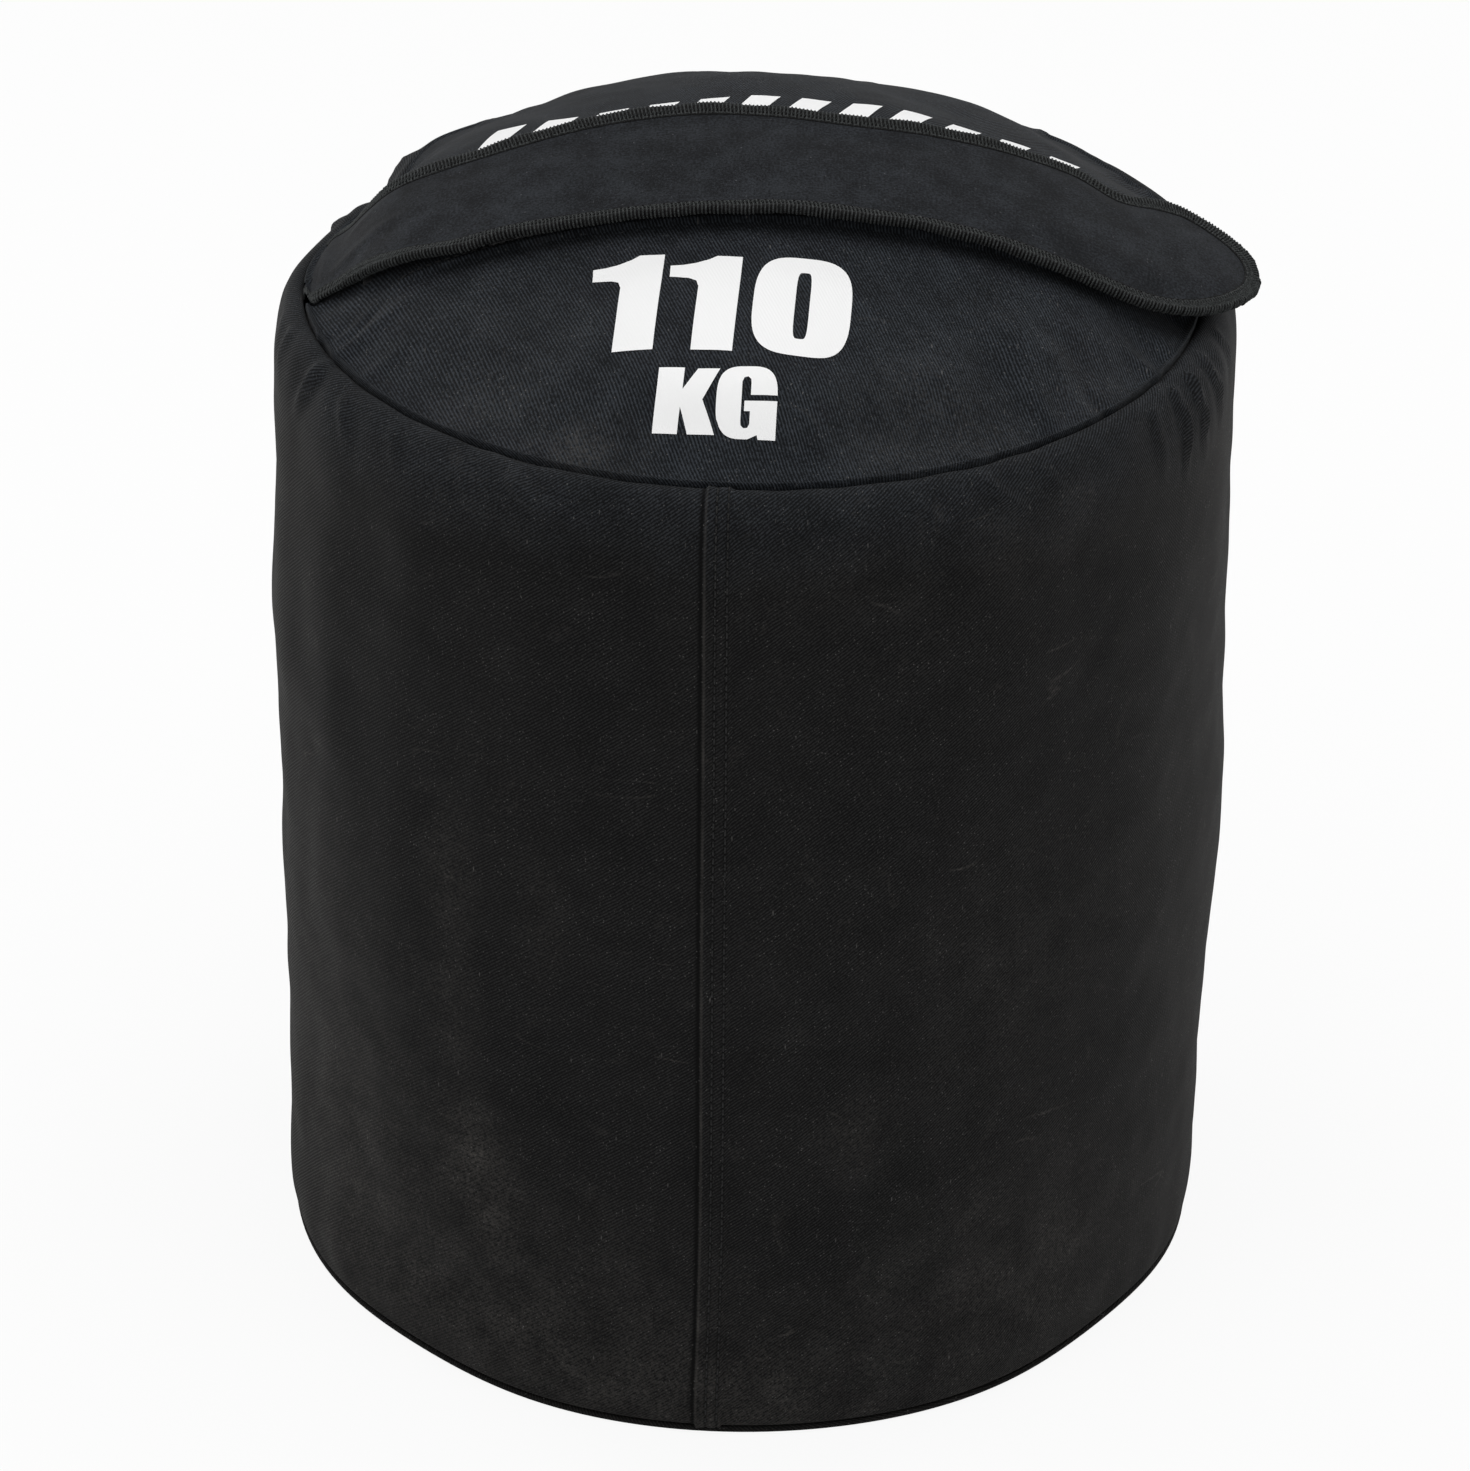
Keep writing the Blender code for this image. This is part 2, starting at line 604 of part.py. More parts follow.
def flap_axis(u):
    # How far the middle of the flap lies behind the slit's line
    away = 1 - smooth(u / FLAP_SWAY_RUN)
    return FLAP_SWAY * (away + smooth((u - flap_length() + FLAP_SWAY_RUN) / FLAP_SWAY_RUN) / 2)


def flap_edges(u):
    # Front and rear edge of the flap, that far along it
    into_tip = (u - flap_length() + FLAP_ROUND) / FLAP_ROUND
    half = FLAP_WIDTH / 2 * math.sqrt(max(1 - max(into_tip, 0.0) ** 2, 0.0))
    cut = FLAP_CORNER * (1 - smooth(u / FLAP_CORNER_RUN))
    return flap_axis(u) - half + cut, flap_axis(u) + half


def flap_point(u, y, height):
    # Point of the flap from the crown's centre: u along it, y across, height above its underside
    bend = min(max(u, 0.0), flap_bend_length())
    angle = flap_start() + bend / CROWN_BALL
    climb = smooth(u / FLAP_RISE_RUN)
    lift = FLAP_HINGE_LIFT + (FLAP_SEAT - FLAP_HINGE_LIFT) * climb
    edge = smooth((abs(y - flap_axis(u)) - FLAP_WIDTH / 2 + FLAP_CURL_WIDTH) / FLAP_CURL_WIDTH)
    ball = CROWN_BALL + lift + height + FLAP_CURL * edge * climb
    reach = math.sqrt(ball**2 - y**2)
    tail = u - bend
    return Vector((
        reach * math.sin(angle) + tail * math.cos(angle), y,
        reach * math.cos(angle) - tail * math.sin(angle),
    ))


def flap_stations(start):
    # Places along the flap from a start: close while it climbs, then even, then closer round the tip
    straight = flap_length() - FLAP_ROUND
    along = [0.0, LINING_START, OVERLOCK_START]
    along += [OVERLOCK_START + (FLAP_RISE_RUN - OVERLOCK_START) * i / 3 for i in (1, 2)]
    along += [FLAP_RISE_RUN + (straight - FLAP_RISE_RUN) * i / 12 for i in range(13)]
    along += [straight + FLAP_ROUND * math.sin(math.radians(a)) for a in TIP_ANGLES]
    return [u for u in along if u >= start]


def flap_ply(name, start, low, high, mat, hinge):
    grids = ([], [])
    for grid, height in zip(grids, (high, low)):
        for u in flap_stations(start):
            front, rear = flap_edges(u)
            grid.append([
                flap_point(u, front + (rear - front) * share, height) - hinge.location
                for share in ACROSS_SHARES
            ])
    return solid(name, *slab(*grids), mat, hinge)


def flap_outline():
    # Edge of the flap from its sewn end round the tip and back, as (u, y)
    stations = flap_stations(OVERLOCK_START)
    near = [(u, flap_edges(u)[0]) for u in stations]
    far = [(u, flap_edges(u)[1]) for u in reversed(stations)]
    return near + [(flap_length(), flap_axis(flap_length()))] + far


def make_overlock(mat, hinge):
    # Thread sheath that wraps the edge of both plies
    near, wide, top = CURVE_CLEAR, OVERLOCK_WIDTH, FLAP_PLIES
    out = near + OVERLOCK_THREAD
    section = [
        (wide, -out), (-out, -out), (-out, top + out), (wide, top + out),
        (wide, top + near), (-near, top + near), (-near, -near), (wide, -near),
    ]
    edge = flap_outline()
    sections = []
    for i, (u, y) in enumerate(edge):
        before, after = edge[max(i - 1, 0)], edge[min(i + 1, len(edge) - 1)]
        along = Vector((after[0] - before[0], after[1] - before[1])).normalized()
        sections.append([
            flap_point(u - along.y * inward, y + along.x * inward, height) - hinge.location
            for inward, height in section
        ])
    return solid("flap_overlock", *loft(sections), mat, hinge)


def make_hook_tape(name, side, mat, hinge):
    near, far = SLIT_HALF + TAPE_INSET, HEM_REACH - TAPE_INSET
    across = (near, (near + far) / 2, far)
    middle = -flap_start() * CROWN_BALL
    half = CROWN_BALL * math.asin(FASTENER_REACH / CROWN_BALL)
    inside = [u for u in flap_stations(middle - half + ZIP_EDGE) if u < middle + half - ZIP_EDGE]
    sections = []
    for u in (middle - half, *inside, middle + half):
        under = [flap_point(u, -side * y, -CURVE_CLEAR - HOOK_TAPE) - hinge.location for y in across]
        over = [flap_point(u, -side * y, -CURVE_CLEAR) - hinge.location for y in across]
        sections.append(under + over[::-1])
    return solid(name, *loft(sections), mat, hinge)


def make_flap_root(mat):
    # Sewn end of the flap's cloth: it lies on the top panels and goes down into the rim
    lower = PANEL_EDGE - ROOT_SEAM_GAP
    sides = [edge - slit_middle(FLAP_HINGE_REACH) for edge in flap_edges(0.0)]
    front, rear = sides[0] + ROOT_INSET, sides[1] - ROOT_INSET
    grids = ([], [])
    for share in ROOT_SHARES:
        places = []
        for i in range(9):
            y = front + (rear - front) * i / 8
            far = math.sqrt(lower**2 - y**2)
            places.append((-far + (far - FLAP_HINGE_REACH + ROOT_LAP) * share, y))
        grids[0].append([crown_point(x, y, CURVE_CLEAR + ROOT_THICK) for x, y in places])
        grids[1].append([crown_point(x, y, CURVE_CLEAR) for x, y in places])
    return solid("flap_root", *slab(*grids), mat)


def liner_path():
    # Outside of the inner bag, from the middle of its bottom up to the mouth of its tied neck
    wide = min(share for _, share in WALL_SHARES) * BODY_RADIUS - CLOTH - LINER_CLEAR
    low = CLOTH + CURVE_CLEAR
    corner = min(BASE_RADIUS - LINER_BASE_GAP, wide - LINER_CORNER_RUN)
    path = [(0.0, low)]
    path += arc(corner, low + LINER_CORNER_HEIGHT, LINER_CORNER_RUN, 270, 360, 4, LINER_CORNER_HEIGHT)
    path.append((wide, RIM_HEIGHT * WALL_SHARES[1][0]))
    top = RIM_HEIGHT - LINER_TOP_DROP
    shoulder = min(RIM_RADIUS - LINER_RIM_GAP, wide)
    path += arc(shoulder, top, wide - shoulder, 0, 80, 3, LINER_SHOULDER_RISE)
    rise = LINER_TOP_DROP - LINER_SHOULDER_RISE + LINER_CROWN
    crown_foot = RIM_HEIGHT + LINER_CROWN - rise
    path += arc(LINER_CROWN_REACH, crown_foot, shoulder - LINER_CROWN_REACH, 12, 90, 4, rise)
    path.append((NECK_RADIUS * 2, RIM_HEIGHT + NECK_FOOT))
    return path


def lining_of(path, distance):
    # The same path moved in, with every second point of its round stretches left out
    spare = {2, 4, 6, 8, 12, 14}
    inner = [p for i, p in enumerate(offset(path, distance)) if i not in spare]
    inner[0] = (0.0, inner[1][1])
    return inner


def neck_path():
    # Gathered neck above the crown, squeezed at the tie and flared into a ruffle, then down its bore
    low, high = RIM_HEIGHT + NECK_TIE - TIE_WIDTH, RIM_HEIGHT + NECK_TIE + TIE_WIDTH
    mouth = RIM_HEIGHT + RUFFLE_TOP
    outside = [(NECK_RADIUS, low), (NECK_RADIUS, high), (RUFFLE_RADIUS, mouth)]
    return outside + [(RUFFLE_RADIUS - LINER * 2, mouth), (NECK_BORE, high), (NECK_BORE, low)]


def make_liner(mat):
    path = liner_path() + neck_path() + lining_of(liner_path(), LINER)[::-1]
    points, faces = turned(path, ring_angles(LINER_STEPS))
    for p in points[2:]:
        pleat(p)
    return solid("liner_bag", points, faces, mat)


def pleat(point):
    # Gathers the cloth of the neck into folds, in and out by turns
    if point.z < RIM_HEIGHT + NECK_TIE - TIE_WIDTH - CLEAR or point.xy.length > RUFFLE_RADIUS + CLEAR:
        return
    turn = round(math.atan2(point.y, point.x) / (2 * math.pi) * LINER_STEPS)
    point.xy *= 1 + PLEAT_SHARE * (-1) ** turn


def make_tie(mat):
    inner = NECK_RADIUS * (1 + PLEAT_SHARE) + CLEAR
    section = arc(inner + TIE_THICK / 2, RIM_HEIGHT + NECK_TIE, TIE_THICK / 2, 0, 300, 5, TIE_WIDTH / 2)
    sections = [[around(r, z, angle) for r, z in section] for angle in ring_angles(LINER_STEPS)]
    return solid("liner_tie", *loft(sections, ring=True), mat)


def make_fill(mat):
    path = lining_of(liner_path(), LINER + FILL_CLEAR)
    path.append((0.0, path[-1][1]))
    return solid("sand_fill", *turned(path, ring_angles(LINER_STEPS)), mat)


def main():
    clear_scene()
    canvas = material("canvas", (0.020, 0.021, 0.023), 0.78)
    flap_cloth = material("flap_cloth", (0.024, 0.024, 0.027), 0.70)
    thread = material("overlock_thread", (0.026, 0.026, 0.024), 0.85)
    tape = material("binding_tape", (0.016, 0.016, 0.017), 0.80)
    fastener = material("hook_and_loop", (0.014, 0.014, 0.015), 0.90)
    moulded = material("zip_plastic", (0.018, 0.018, 0.019), 0.42)
    metal = material("slider_metal", (0.050, 0.050, 0.052), 0.38, 0.85)
    liner_cloth = material("liner_cloth", (0.180, 0.182, 0.185), 0.72)
    nylon = material("tie_nylon", (0.620, 0.620, 0.600), 0.50)
    sand = material("sand", (0.420, 0.330, 0.210), 0.95)

    make_side_wall(canvas)
    make_base_panel(canvas)
    binding_ring("rim_binding", RIM_RADIUS, RIM_HEIGHT - ALLOWANCE, -1, tape)
    binding_ring("base_binding", BASE_RADIUS, ALLOWANCE, 1, tape)
    slit = pivot("slit_frame", (0, 0, BALL_HEIGHT), tilt=SLIT_TILT)
    for place, side in (("front", 1), ("rear", -1)):
        make_top_panel(f"top_panel_{place}", side, canvas)
        make_loop_tape(f"loop_tape_{place}", side, fastener, slit)
        make_stringer(f"zip_stringer_{place}", side, tape, moulded, slit)
    make_bottom_stop(moulded, slit)
    make_flap_root(flap_cloth)

    parked = chain_length(TEETH_REACH) / CHAIN_BALL
    slider_pivot = pivot("slider_pivot", (0, 0, 0), turn=parked, parent=slit)
    make_slider(metal, slider_pivot)
    bar_height = CHAIN_BALL + SLIDER_TOP + PULL_SEAT + PULL_THICK / 2
    pull_pivot = pivot("pull_pivot", (0, 0, bar_height), parent=slider_pivot)
    make_pull(metal, pull_pivot)

    flap_pivot = pivot("flap_pivot", flap_point(0.0, 0.0, FLAP_PLIES - FLAP_COVER / 2), parent=slit)
    flap_ply("flap_cover", 0.0, FLAP_LINING + CLEAR, FLAP_PLIES, flap_cloth, flap_pivot)
    flap_ply("flap_lining", LINING_START, 0.0, FLAP_LINING, flap_cloth, flap_pivot)
    make_overlock(thread, flap_pivot)
    for place, side in (("front", 1), ("rear", -1)):
        make_hook_tape(f"hook_tape_{place}", side, fastener, flap_pivot)

    make_liner(liner_cloth)
    make_tie(nylon)
    make_fill(sand)

    bpy.context.view_layer.update()
    for joint in (flap_pivot, slider_pivot, pull_pivot):
        axis = joint.matrix_world.to_3x3() @ Vector((0, -1, 0))
        place = joint.matrix_world.translation
        print(joint.name, "at", [round(c, 5) for c in place], "along", [round(c, 6) for c in axis])


main()
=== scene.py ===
import math

import bmesh
import bpy
import numpy as np
from mathutils import Matrix, Vector


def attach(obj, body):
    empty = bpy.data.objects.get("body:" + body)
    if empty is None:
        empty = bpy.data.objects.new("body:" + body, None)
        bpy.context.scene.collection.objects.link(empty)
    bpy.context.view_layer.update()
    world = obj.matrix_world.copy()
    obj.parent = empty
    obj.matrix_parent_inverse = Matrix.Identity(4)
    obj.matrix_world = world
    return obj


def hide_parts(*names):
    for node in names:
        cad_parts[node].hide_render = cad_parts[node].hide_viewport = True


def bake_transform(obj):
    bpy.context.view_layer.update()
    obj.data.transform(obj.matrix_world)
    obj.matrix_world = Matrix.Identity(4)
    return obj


# Looks of a strength training sandbag: a sewn cloth drum full of sand, closed by a zip under a long flap.
# Metres, +Z up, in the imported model's own frame. -Y is the front, +X the flap's free tip.
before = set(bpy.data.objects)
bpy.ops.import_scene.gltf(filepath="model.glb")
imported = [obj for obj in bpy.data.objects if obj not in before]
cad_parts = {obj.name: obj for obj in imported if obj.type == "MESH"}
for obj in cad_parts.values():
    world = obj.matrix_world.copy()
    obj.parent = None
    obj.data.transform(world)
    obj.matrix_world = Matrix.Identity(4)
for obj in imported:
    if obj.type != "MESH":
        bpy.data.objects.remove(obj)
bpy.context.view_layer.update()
scene = bpy.context.scene
print("frame loaded:", len(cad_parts), "nodes")

# Camera, fitted to the photograph
photoCamera = {
    "elevation": 30.0,  # degrees above the horizon
    "distance": 3.288,
    "focal": 7184.0,  # in pixels of the picture
    "pixels": (1470, 1471),
    "roll": 0.5,
    "target": (-0.0064, 0.0, 0.2379),
    "sensor": 36.0,
}


def makeCamera(look):
    raised, roll = math.radians(look["elevation"]), math.radians(look["roll"])
    right = Vector((1, 0, 0))
    back = Vector((0, -math.cos(raised), math.sin(raised)))
    up = Vector((0, math.sin(raised), math.cos(raised)))
    across = right * math.cos(roll) + up * math.sin(roll)
    upward = up * math.cos(roll) - right * math.sin(roll)
    data = bpy.data.cameras.new("photoCamera")
    data.sensor_width = look["sensor"]
    data.lens = look["focal"] * look["sensor"] / max(look["pixels"])
    data.clip_start, data.clip_end = 0.05, 60
    camera = bpy.data.objects.new("photoCamera", data)
    scene.collection.objects.link(camera)
    turn = Matrix((across, upward, back)).transposed().to_4x4()
    camera.matrix_world = Matrix.Translation(Vector(look["target"]) + back * look["distance"]) @ turn
    scene.camera = camera


makeCamera(photoCamera)
print("camera set")

# The drum's sizes, as in the part's source
drum = {
    "bodyRadius": 0.215,
    "rimRadius": 0.199,
    "rimHeight": 0.470,
    "crownRise": 0.065,
    "baseRadius": 0.203,
    "shoulderDrop": 0.034,
    "edgeRoll": 0.014,
    "wallShares": ((0.10, 0.985), (0.26, 0.985), (0.50, 1.0), (0.76, 0.998)),
    "cloth": 0.002,
    "allowance": 0.012,
    "turn": 0.0035,
    "seamGap": 0.0008,
    "clear": 0.0003,
    "curveClear": 0.0006,
}
# Places where the filled bag has slumped: centre, reach along each axis, and the move at its middle
slumps = (
    ((-0.195, 0.062, 0.470), (0.050, 0.052, 0.070), (0.0085, -0.001, -0.0045)),
    ((-0.172, 0.104, 0.474), (0.017, 0.030, 0.050), (0.003, -0.004, -0.0095)),
    ((0.000, 0.170, 0.485), (0.150, 0.040, 0.025), (0.0, 0.0, -0.0035)),
    ((-0.078, 0.190, 0.478), (0.024, 0.034, 0.040), (0.0, 0.0, -0.0046)),
    ((0.014, 0.190, 0.478), (0.024, 0.036, 0.040), (0.0, 0.0, -0.0056)),
    ((0.155, 0.095, 0.480), (0.030, 0.040, 0.040), (0.0, 0.0, -0.0034)),
    ((0.206, -0.010, 0.410), (0.075, 0.150, 0.075), (-0.0026, 0.0, 0.0)),
    ((0.212, 0.000, 0.155), (0.080, 0.180, 0.060), (0.0028, 0.0, 0.0)),
    ((0.000, 0.000, 0.000), (0.800, 0.800, 0.075), (-0.0022, -0.0042, 0.0)),
    ((0.160, -0.122, 0.000), (0.062, 0.060, 0.075), (-0.0042, 0.0032, 0.0)),
    ((-0.146, -0.146, 0.000), (0.060, 0.060, 0.075), (0.0032, 0.0026, 0.0)),
)
panelEdge = drum["rimRadius"] - drum["seamGap"] / 2
rollCentre = panelEdge - drum["edgeRoll"]
crownBall = (rollCentre**2 + drum["crownRise"]**2 - drum["edgeRoll"]**2) / (
    2 * (drum["crownRise"] - drum["edgeRoll"]))
ballHeight = drum["rimHeight"] + drum["crownRise"] - crownBall
rollStart = math.atan2(rollCentre, crownBall - drum["crownRise"])
capReach = crownBall * math.sin(rollStart)


def ease(share):
    share = np.clip(share, 0.0, 1.0)
    return share * share * (3 - 2 * share)


def stacked(*values):
    # Values whose shapes fit together, side by side along a new last axis
    return np.stack(np.broadcast_arrays(*values), -1)


def around(r, turn, z):
    return stacked(r * np.cos(turn), r * np.sin(turn), z)


def turns(count, closed=False):
    # Angles once round, with the first again at the end of a closed set
    return np.linspace(0, 2 * math.pi, count + closed, endpoint=closed)


def halfTurn(angle):
    # The same angle between -pi and pi
    return (angle + math.pi) % (2 * math.pi) - math.pi


def lengths(line):
    # How far along a line each of its points is
    return np.concatenate([[0], np.linalg.norm(np.diff(line, axis=0), axis=1).cumsum()])


def between(knots, u):
    # Smooth run through a table of places and values
    places, values = np.array(knots).T
    slopes = np.gradient(values, places)
    i = np.clip(np.searchsorted(places, u, "right") - 1, 0, len(places) - 2)
    wide = places[i + 1] - places[i]
    t = np.clip((u - places[i]) / wide, 0, 1)
    return ((2 * t**3 - 3 * t**2 + 1) * values[i] + (t**3 - 2 * t**2 + t) * wide * slopes[i]
            + (3 * t**2 - 2 * t**3) * values[i + 1] + (t**3 - t**2) * wide * slopes[i + 1])


def swell(spots, size, seed, waves=10):
    # Soft lumps of about that size, mostly between -1 and 1
    dice = np.random.default_rng(seed)
    way = dice.normal(size=(waves, spots.shape[-1]))
    way *= (2 * math.pi / size * dice.uniform(0.7, 1.4, waves) / np.linalg.norm(way, axis=1))[:, None]
    return np.sin(spots @ way.T + dice.uniform(0, 2 * math.pi, waves)).sum(-1) * (1.2 / math.sqrt(waves))


def creases(u, v, folds):
    # Folds over a cloth's flat coordinates, each strongest at its first end: from, to, half width, height
    total = np.zeros(np.broadcast(u, v).shape)
    for (fromU, fromV), (toU, toV), wide, tall in folds:
        alongU, alongV = toU - fromU, toV - fromV
        share = ((u - fromU) * alongU + (v - fromV) * alongV) / (alongU**2 + alongV**2)
        near = np.clip(share, 0, 1)
        away = np.hypot(u - fromU - alongU * near, v - fromV - alongV * near)
        shape = np.exp(-((away / wide) ** 2)) - 0.45 * np.exp(-((away / wide / 2.2) ** 2))
        total += tall * ease(1.2 * (1 - near)) * shape
    return total


def settle(spots):
    # Moves points by the slumps of the filled bag
    moved = spots.copy()
    for centre, reach, move in slumps:
        away = np.linalg.norm((spots - np.array(centre)) / np.array(reach), axis=-1)
        moved += np.exp(-(away**2))[..., None] * np.array(move)
    return moved


def edgeDrop(x, y):
    # The top sinks a little before its seam, most at the front
    reach = np.hypot(x, y)
    deep = 0.0048 + 0.0022 * ease(0.5 - y / 0.16)
    return deep * ease((reach - 0.158) / 0.030) * (1 - ease((reach - 0.1950) / 0.0035))


def crownSpots(x, y, lift=0.0):
    # Points over plan positions of the top, raised square to its outer face
    x, y, lift = np.broadcast_arrays(np.asarray(x, float), y, lift)
    reach = np.maximum(np.hypot(x, y), 1e-9)
    scale = (crownBall + lift) / crownBall
    up = np.sqrt(np.maximum(crownBall**2 - reach**2, 0))
    cap = stacked(x * scale, y * scale, ballHeight + up * scale)
    tilt = np.arcsin(np.clip((reach - rollCentre) / drum["edgeRoll"], -1, 1))
    out = rollCentre + (drum["edgeRoll"] + lift) * np.sin(tilt)
    down = drum["rimHeight"] + (drum["edgeRoll"] + lift) * np.cos(tilt)
    rolled = stacked(x / reach * out, y / reach * out, down)
    spots = np.where((reach <= capReach)[..., None], cap, rolled)
    spots[..., 2] -= edgeDrop(x, y)
    return spots


def squareTo(surface, u, v, step=0.0004):
    # Outward normals of a surface given as a function of two coordinates
    alongU = surface(u + step, v) - surface(u - step, v)
    alongV = surface(u, v + step) - surface(u, v - step)
    normal = np.cross(alongU, alongV)
    return normal / np.maximum(np.linalg.norm(normal, axis=-1), 1e-12)[..., None]


# Meshes
def meshPiece(name, spots, faces, flat):
    # Object from points and faces, with the cloth's flat coordinates of each face corner as its UVs
    mesh = bpy.data.meshes.new(name)
    mesh.from_pydata(np.asarray(spots).reshape(-1, 3).tolist(), [], faces)
    layer = mesh.uv_layers.new(name="cloth")
    layer.data.foreach_set("uv", np.asarray(flat, float).ravel())
    mesh.shade_smooth()
    piece = bpy.data.objects.new(name, mesh)
    scene.collection.objects.link(piece)
    return piece


def gridFaces(rows, columns, closed=False, flip=False, first=0):
    # Faces over a grid of points, and the rows and columns of their corners
    i, j = np.meshgrid(np.arange(rows - 1), np.arange(columns if closed else columns - 1), indexing="ij")
    corners = [(i, j), (i, j + 1), (i + 1, j + 1), (i + 1, j)]
    if flip:
        corners.reverse()
    faces = np.stack([first + a * columns + b % columns for a, b in corners], -1).reshape(-1, 4)
    return faces.tolist(), corners


def gridPiece(name, spots, weave, closed=False, flip=False):
    # Cloth over a grid of points. A closed one joins its last column to its first, and weave has one more
    faces, corners = gridFaces(*spots.shape[:2], closed, flip)
    flat = np.stack([weave[a, b] for a, b in corners], -2)
    return meshPiece(name, spots, faces, flat)


def slabPiece(name, top, under, weave, flip=False, edgeWeave=0.0012):
    # Closed sheet between two grids of points, with that width of weave on its edge
    rows, columns = top.shape[:2]
    faces, corners = gridFaces(rows, columns, flip=flip)
    more, backs = gridFaces(rows, columns, flip=not flip, first=rows * columns)
    flat = [np.stack([weave[a, b] for a, b in group], -2).reshape(-1, 2) for group in (corners, backs)]
    edge = [(0, j) for j in range(columns)] + [(i, columns - 1) for i in range(1, rows)]
    edge += [(rows - 1, j) for j in range(columns - 2, -1, -1)] + [(i, 0) for i in range(rows - 2, 0, -1)]
    rim = []
    for (a, b), (c, d) in zip(edge, edge[1:] + edge[:1]):
        here, there = a * columns + b, c * columns + d
        corner = [here, there, rows * columns + there, rows * columns + here]
        uv = [weave[a, b], weave[c, d], weave[c, d] + edgeWeave, weave[a, b] + edgeWeave]
        rim.append(corner if flip else corner[::-1])
        flat.append(np.array(uv if flip else uv[::-1]))
    return meshPiece(name, np.concatenate([top.reshape(-1, 3), under.reshape(-1, 3)]),
                     faces + more + rim, np.concatenate(flat))


def tubes(paths, normals, radius, sides):
    # Many round threads at once. paths is (threads, points, 3), normals the same, radius one or per point
    tangent = np.gradient(paths, axis=1)
    tangent /= np.maximum(np.linalg.norm(tangent, axis=-1, keepdims=True), 1e-12)
    across = np.cross(tangent, normals)
    across /= np.maximum(np.linalg.norm(across, axis=-1, keepdims=True), 1e-12)
    lift = np.cross(across, tangent)
    turn = turns(sides)
    ring = across[:, :, None] * np.cos(turn)[:, None] + lift[:, :, None] * np.sin(turn)[:, None]
    wide = np.broadcast_to(np.asarray(radius, float), paths.shape[1:2])[None, :, None, None]
    spots = paths[:, :, None] + ring * wide
    count, steps = paths.shape[:2]
    faces, flat = [], []
    length = np.linalg.norm(np.diff(paths, axis=1), axis=-1).cumsum(1)
    length = np.concatenate([np.zeros((count, 1)), length], 1)
    for t in range(count):
        start = t * steps * sides
        for i in range(steps - 1):
            for j in range(sides):
                k = (j + 1) % sides
                here, there = start + i * sides, start + (i + 1) * sides
                faces.append((here + j, here + k, there + k, there + j))
                low, high = length[t, i], length[t, i + 1]
                flat += [(low, j / sides), (low, (j + 1) / sides), (high, (j + 1) / sides), (high, j / sides)]
        for end in (start, start + (steps - 1) * sides):
            cap = [end + j for j in range(sides)]
            faces.append(cap[::-1] if end == start else cap)
            flat += [(0, 0)] * sides
    return spots.reshape(-1, 3), faces, flat


def along(line, places):
    # Points of a polyline at those lengths along it, for any columns of values beside it
    length = lengths(line[:, :3])
    return np.stack([np.interp(places, length, line[:, k]) for k in range(line.shape[1])], -1), length[-1]


def stitches(line, normals, pitch, reach, radius, sink=0.0005, sides=5):
    # Row of short stitches that come up out of the cloth and go down again along a line
    both = np.concatenate([line, normals], 1)
    _, total = along(both, np.zeros(1))
    starts = np.arange(pitch / 2, total - pitch, pitch)
    shares = np.array([0.0, 0.16, 0.5, 0.84, 1.0])
    rise = np.array([-sink, radius * 0.55, radius * 0.85, radius * 0.55, -sink])
    places = (starts[:, None] + shares * reach).ravel()
    values, _ = along(both, places)
    paths = values[:, :3].reshape(len(starts), 5, 3)
    square = values[:, 3:].reshape(len(starts), 5, 3)
    return tubes(paths + square * rise[:, None], square, radius, sides)


def merged(*parts):
    # Several sets of points, faces and UVs as one
    spots, faces, flat = [], [], []
    for points, more, uv in parts:
        start = len(spots)
        spots += np.asarray(points).reshape(-1, 3).tolist()
        faces += [[start + i for i in face] for face in more]
        flat += [tuple(p) for p in np.asarray(uv, float).reshape(-1, 2)]
    return spots, faces, flat


def mended(piece, sharp=None, weld=False, caps=(), add=None):
    # Welds a mesh, closes it with faces over rings of its points or adds to it, and turns its faces outward
    editing = bmesh.new()
    editing.from_mesh(piece.data)
    if weld:
        bmesh.ops.remove_doubles(editing, verts=editing.verts, dist=1e-7)
    editing.verts.ensure_lookup_table()
    for ring in caps:
        editing.faces.new([editing.verts[i] for i in ring])
    if add:
        add(editing)
    bmesh.ops.recalc_face_normals(editing, faces=editing.faces)
    editing.to_mesh(piece.data)
    editing.free()
    piece.data.shade_smooth()
    if sharp:
        piece.data.set_sharp_from_angle(angle=math.radians(sharp))
    return piece


def dressed(piece, material, body, slot, *nodes):
    # Gives a piece its finish, the body it moves with and the solids that it stands for
    piece.data.materials.clear()
    piece.data.materials.append(material)
    if body:
        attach(piece, body)
    if nodes:
        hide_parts(*nodes)


# Finishes
class Wire:
    # A socket that can stand in a sum as a number does
    def __init__(self, maker, socket):
        self.maker, self.socket = maker, socket

    def joined(self, operation, a, b):
        return self.maker.node("ShaderNodeMath", {"operation": operation}, {0: a, 1: b})

    def __add__(self, other):
        return self.joined("ADD", self, other)

    def __radd__(self, other):
        return self.joined("ADD", other, self)

    def __sub__(self, other):
        return self.joined("SUBTRACT", self, other)

    def __rsub__(self, other):
        return self.joined("SUBTRACT", other, self)

    def __mul__(self, other):
        return self.joined("MULTIPLY", self, other)

    def __rmul__(self, other):
        return self.joined("MULTIPLY", other, self)

    def __truediv__(self, other):
        return self.joined("DIVIDE", self, other)

    def __rtruediv__(self, other):
        return self.joined("DIVIDE", other, self)

    def __gt__(self, other):
        return self.joined("GREATER_THAN", self, other)


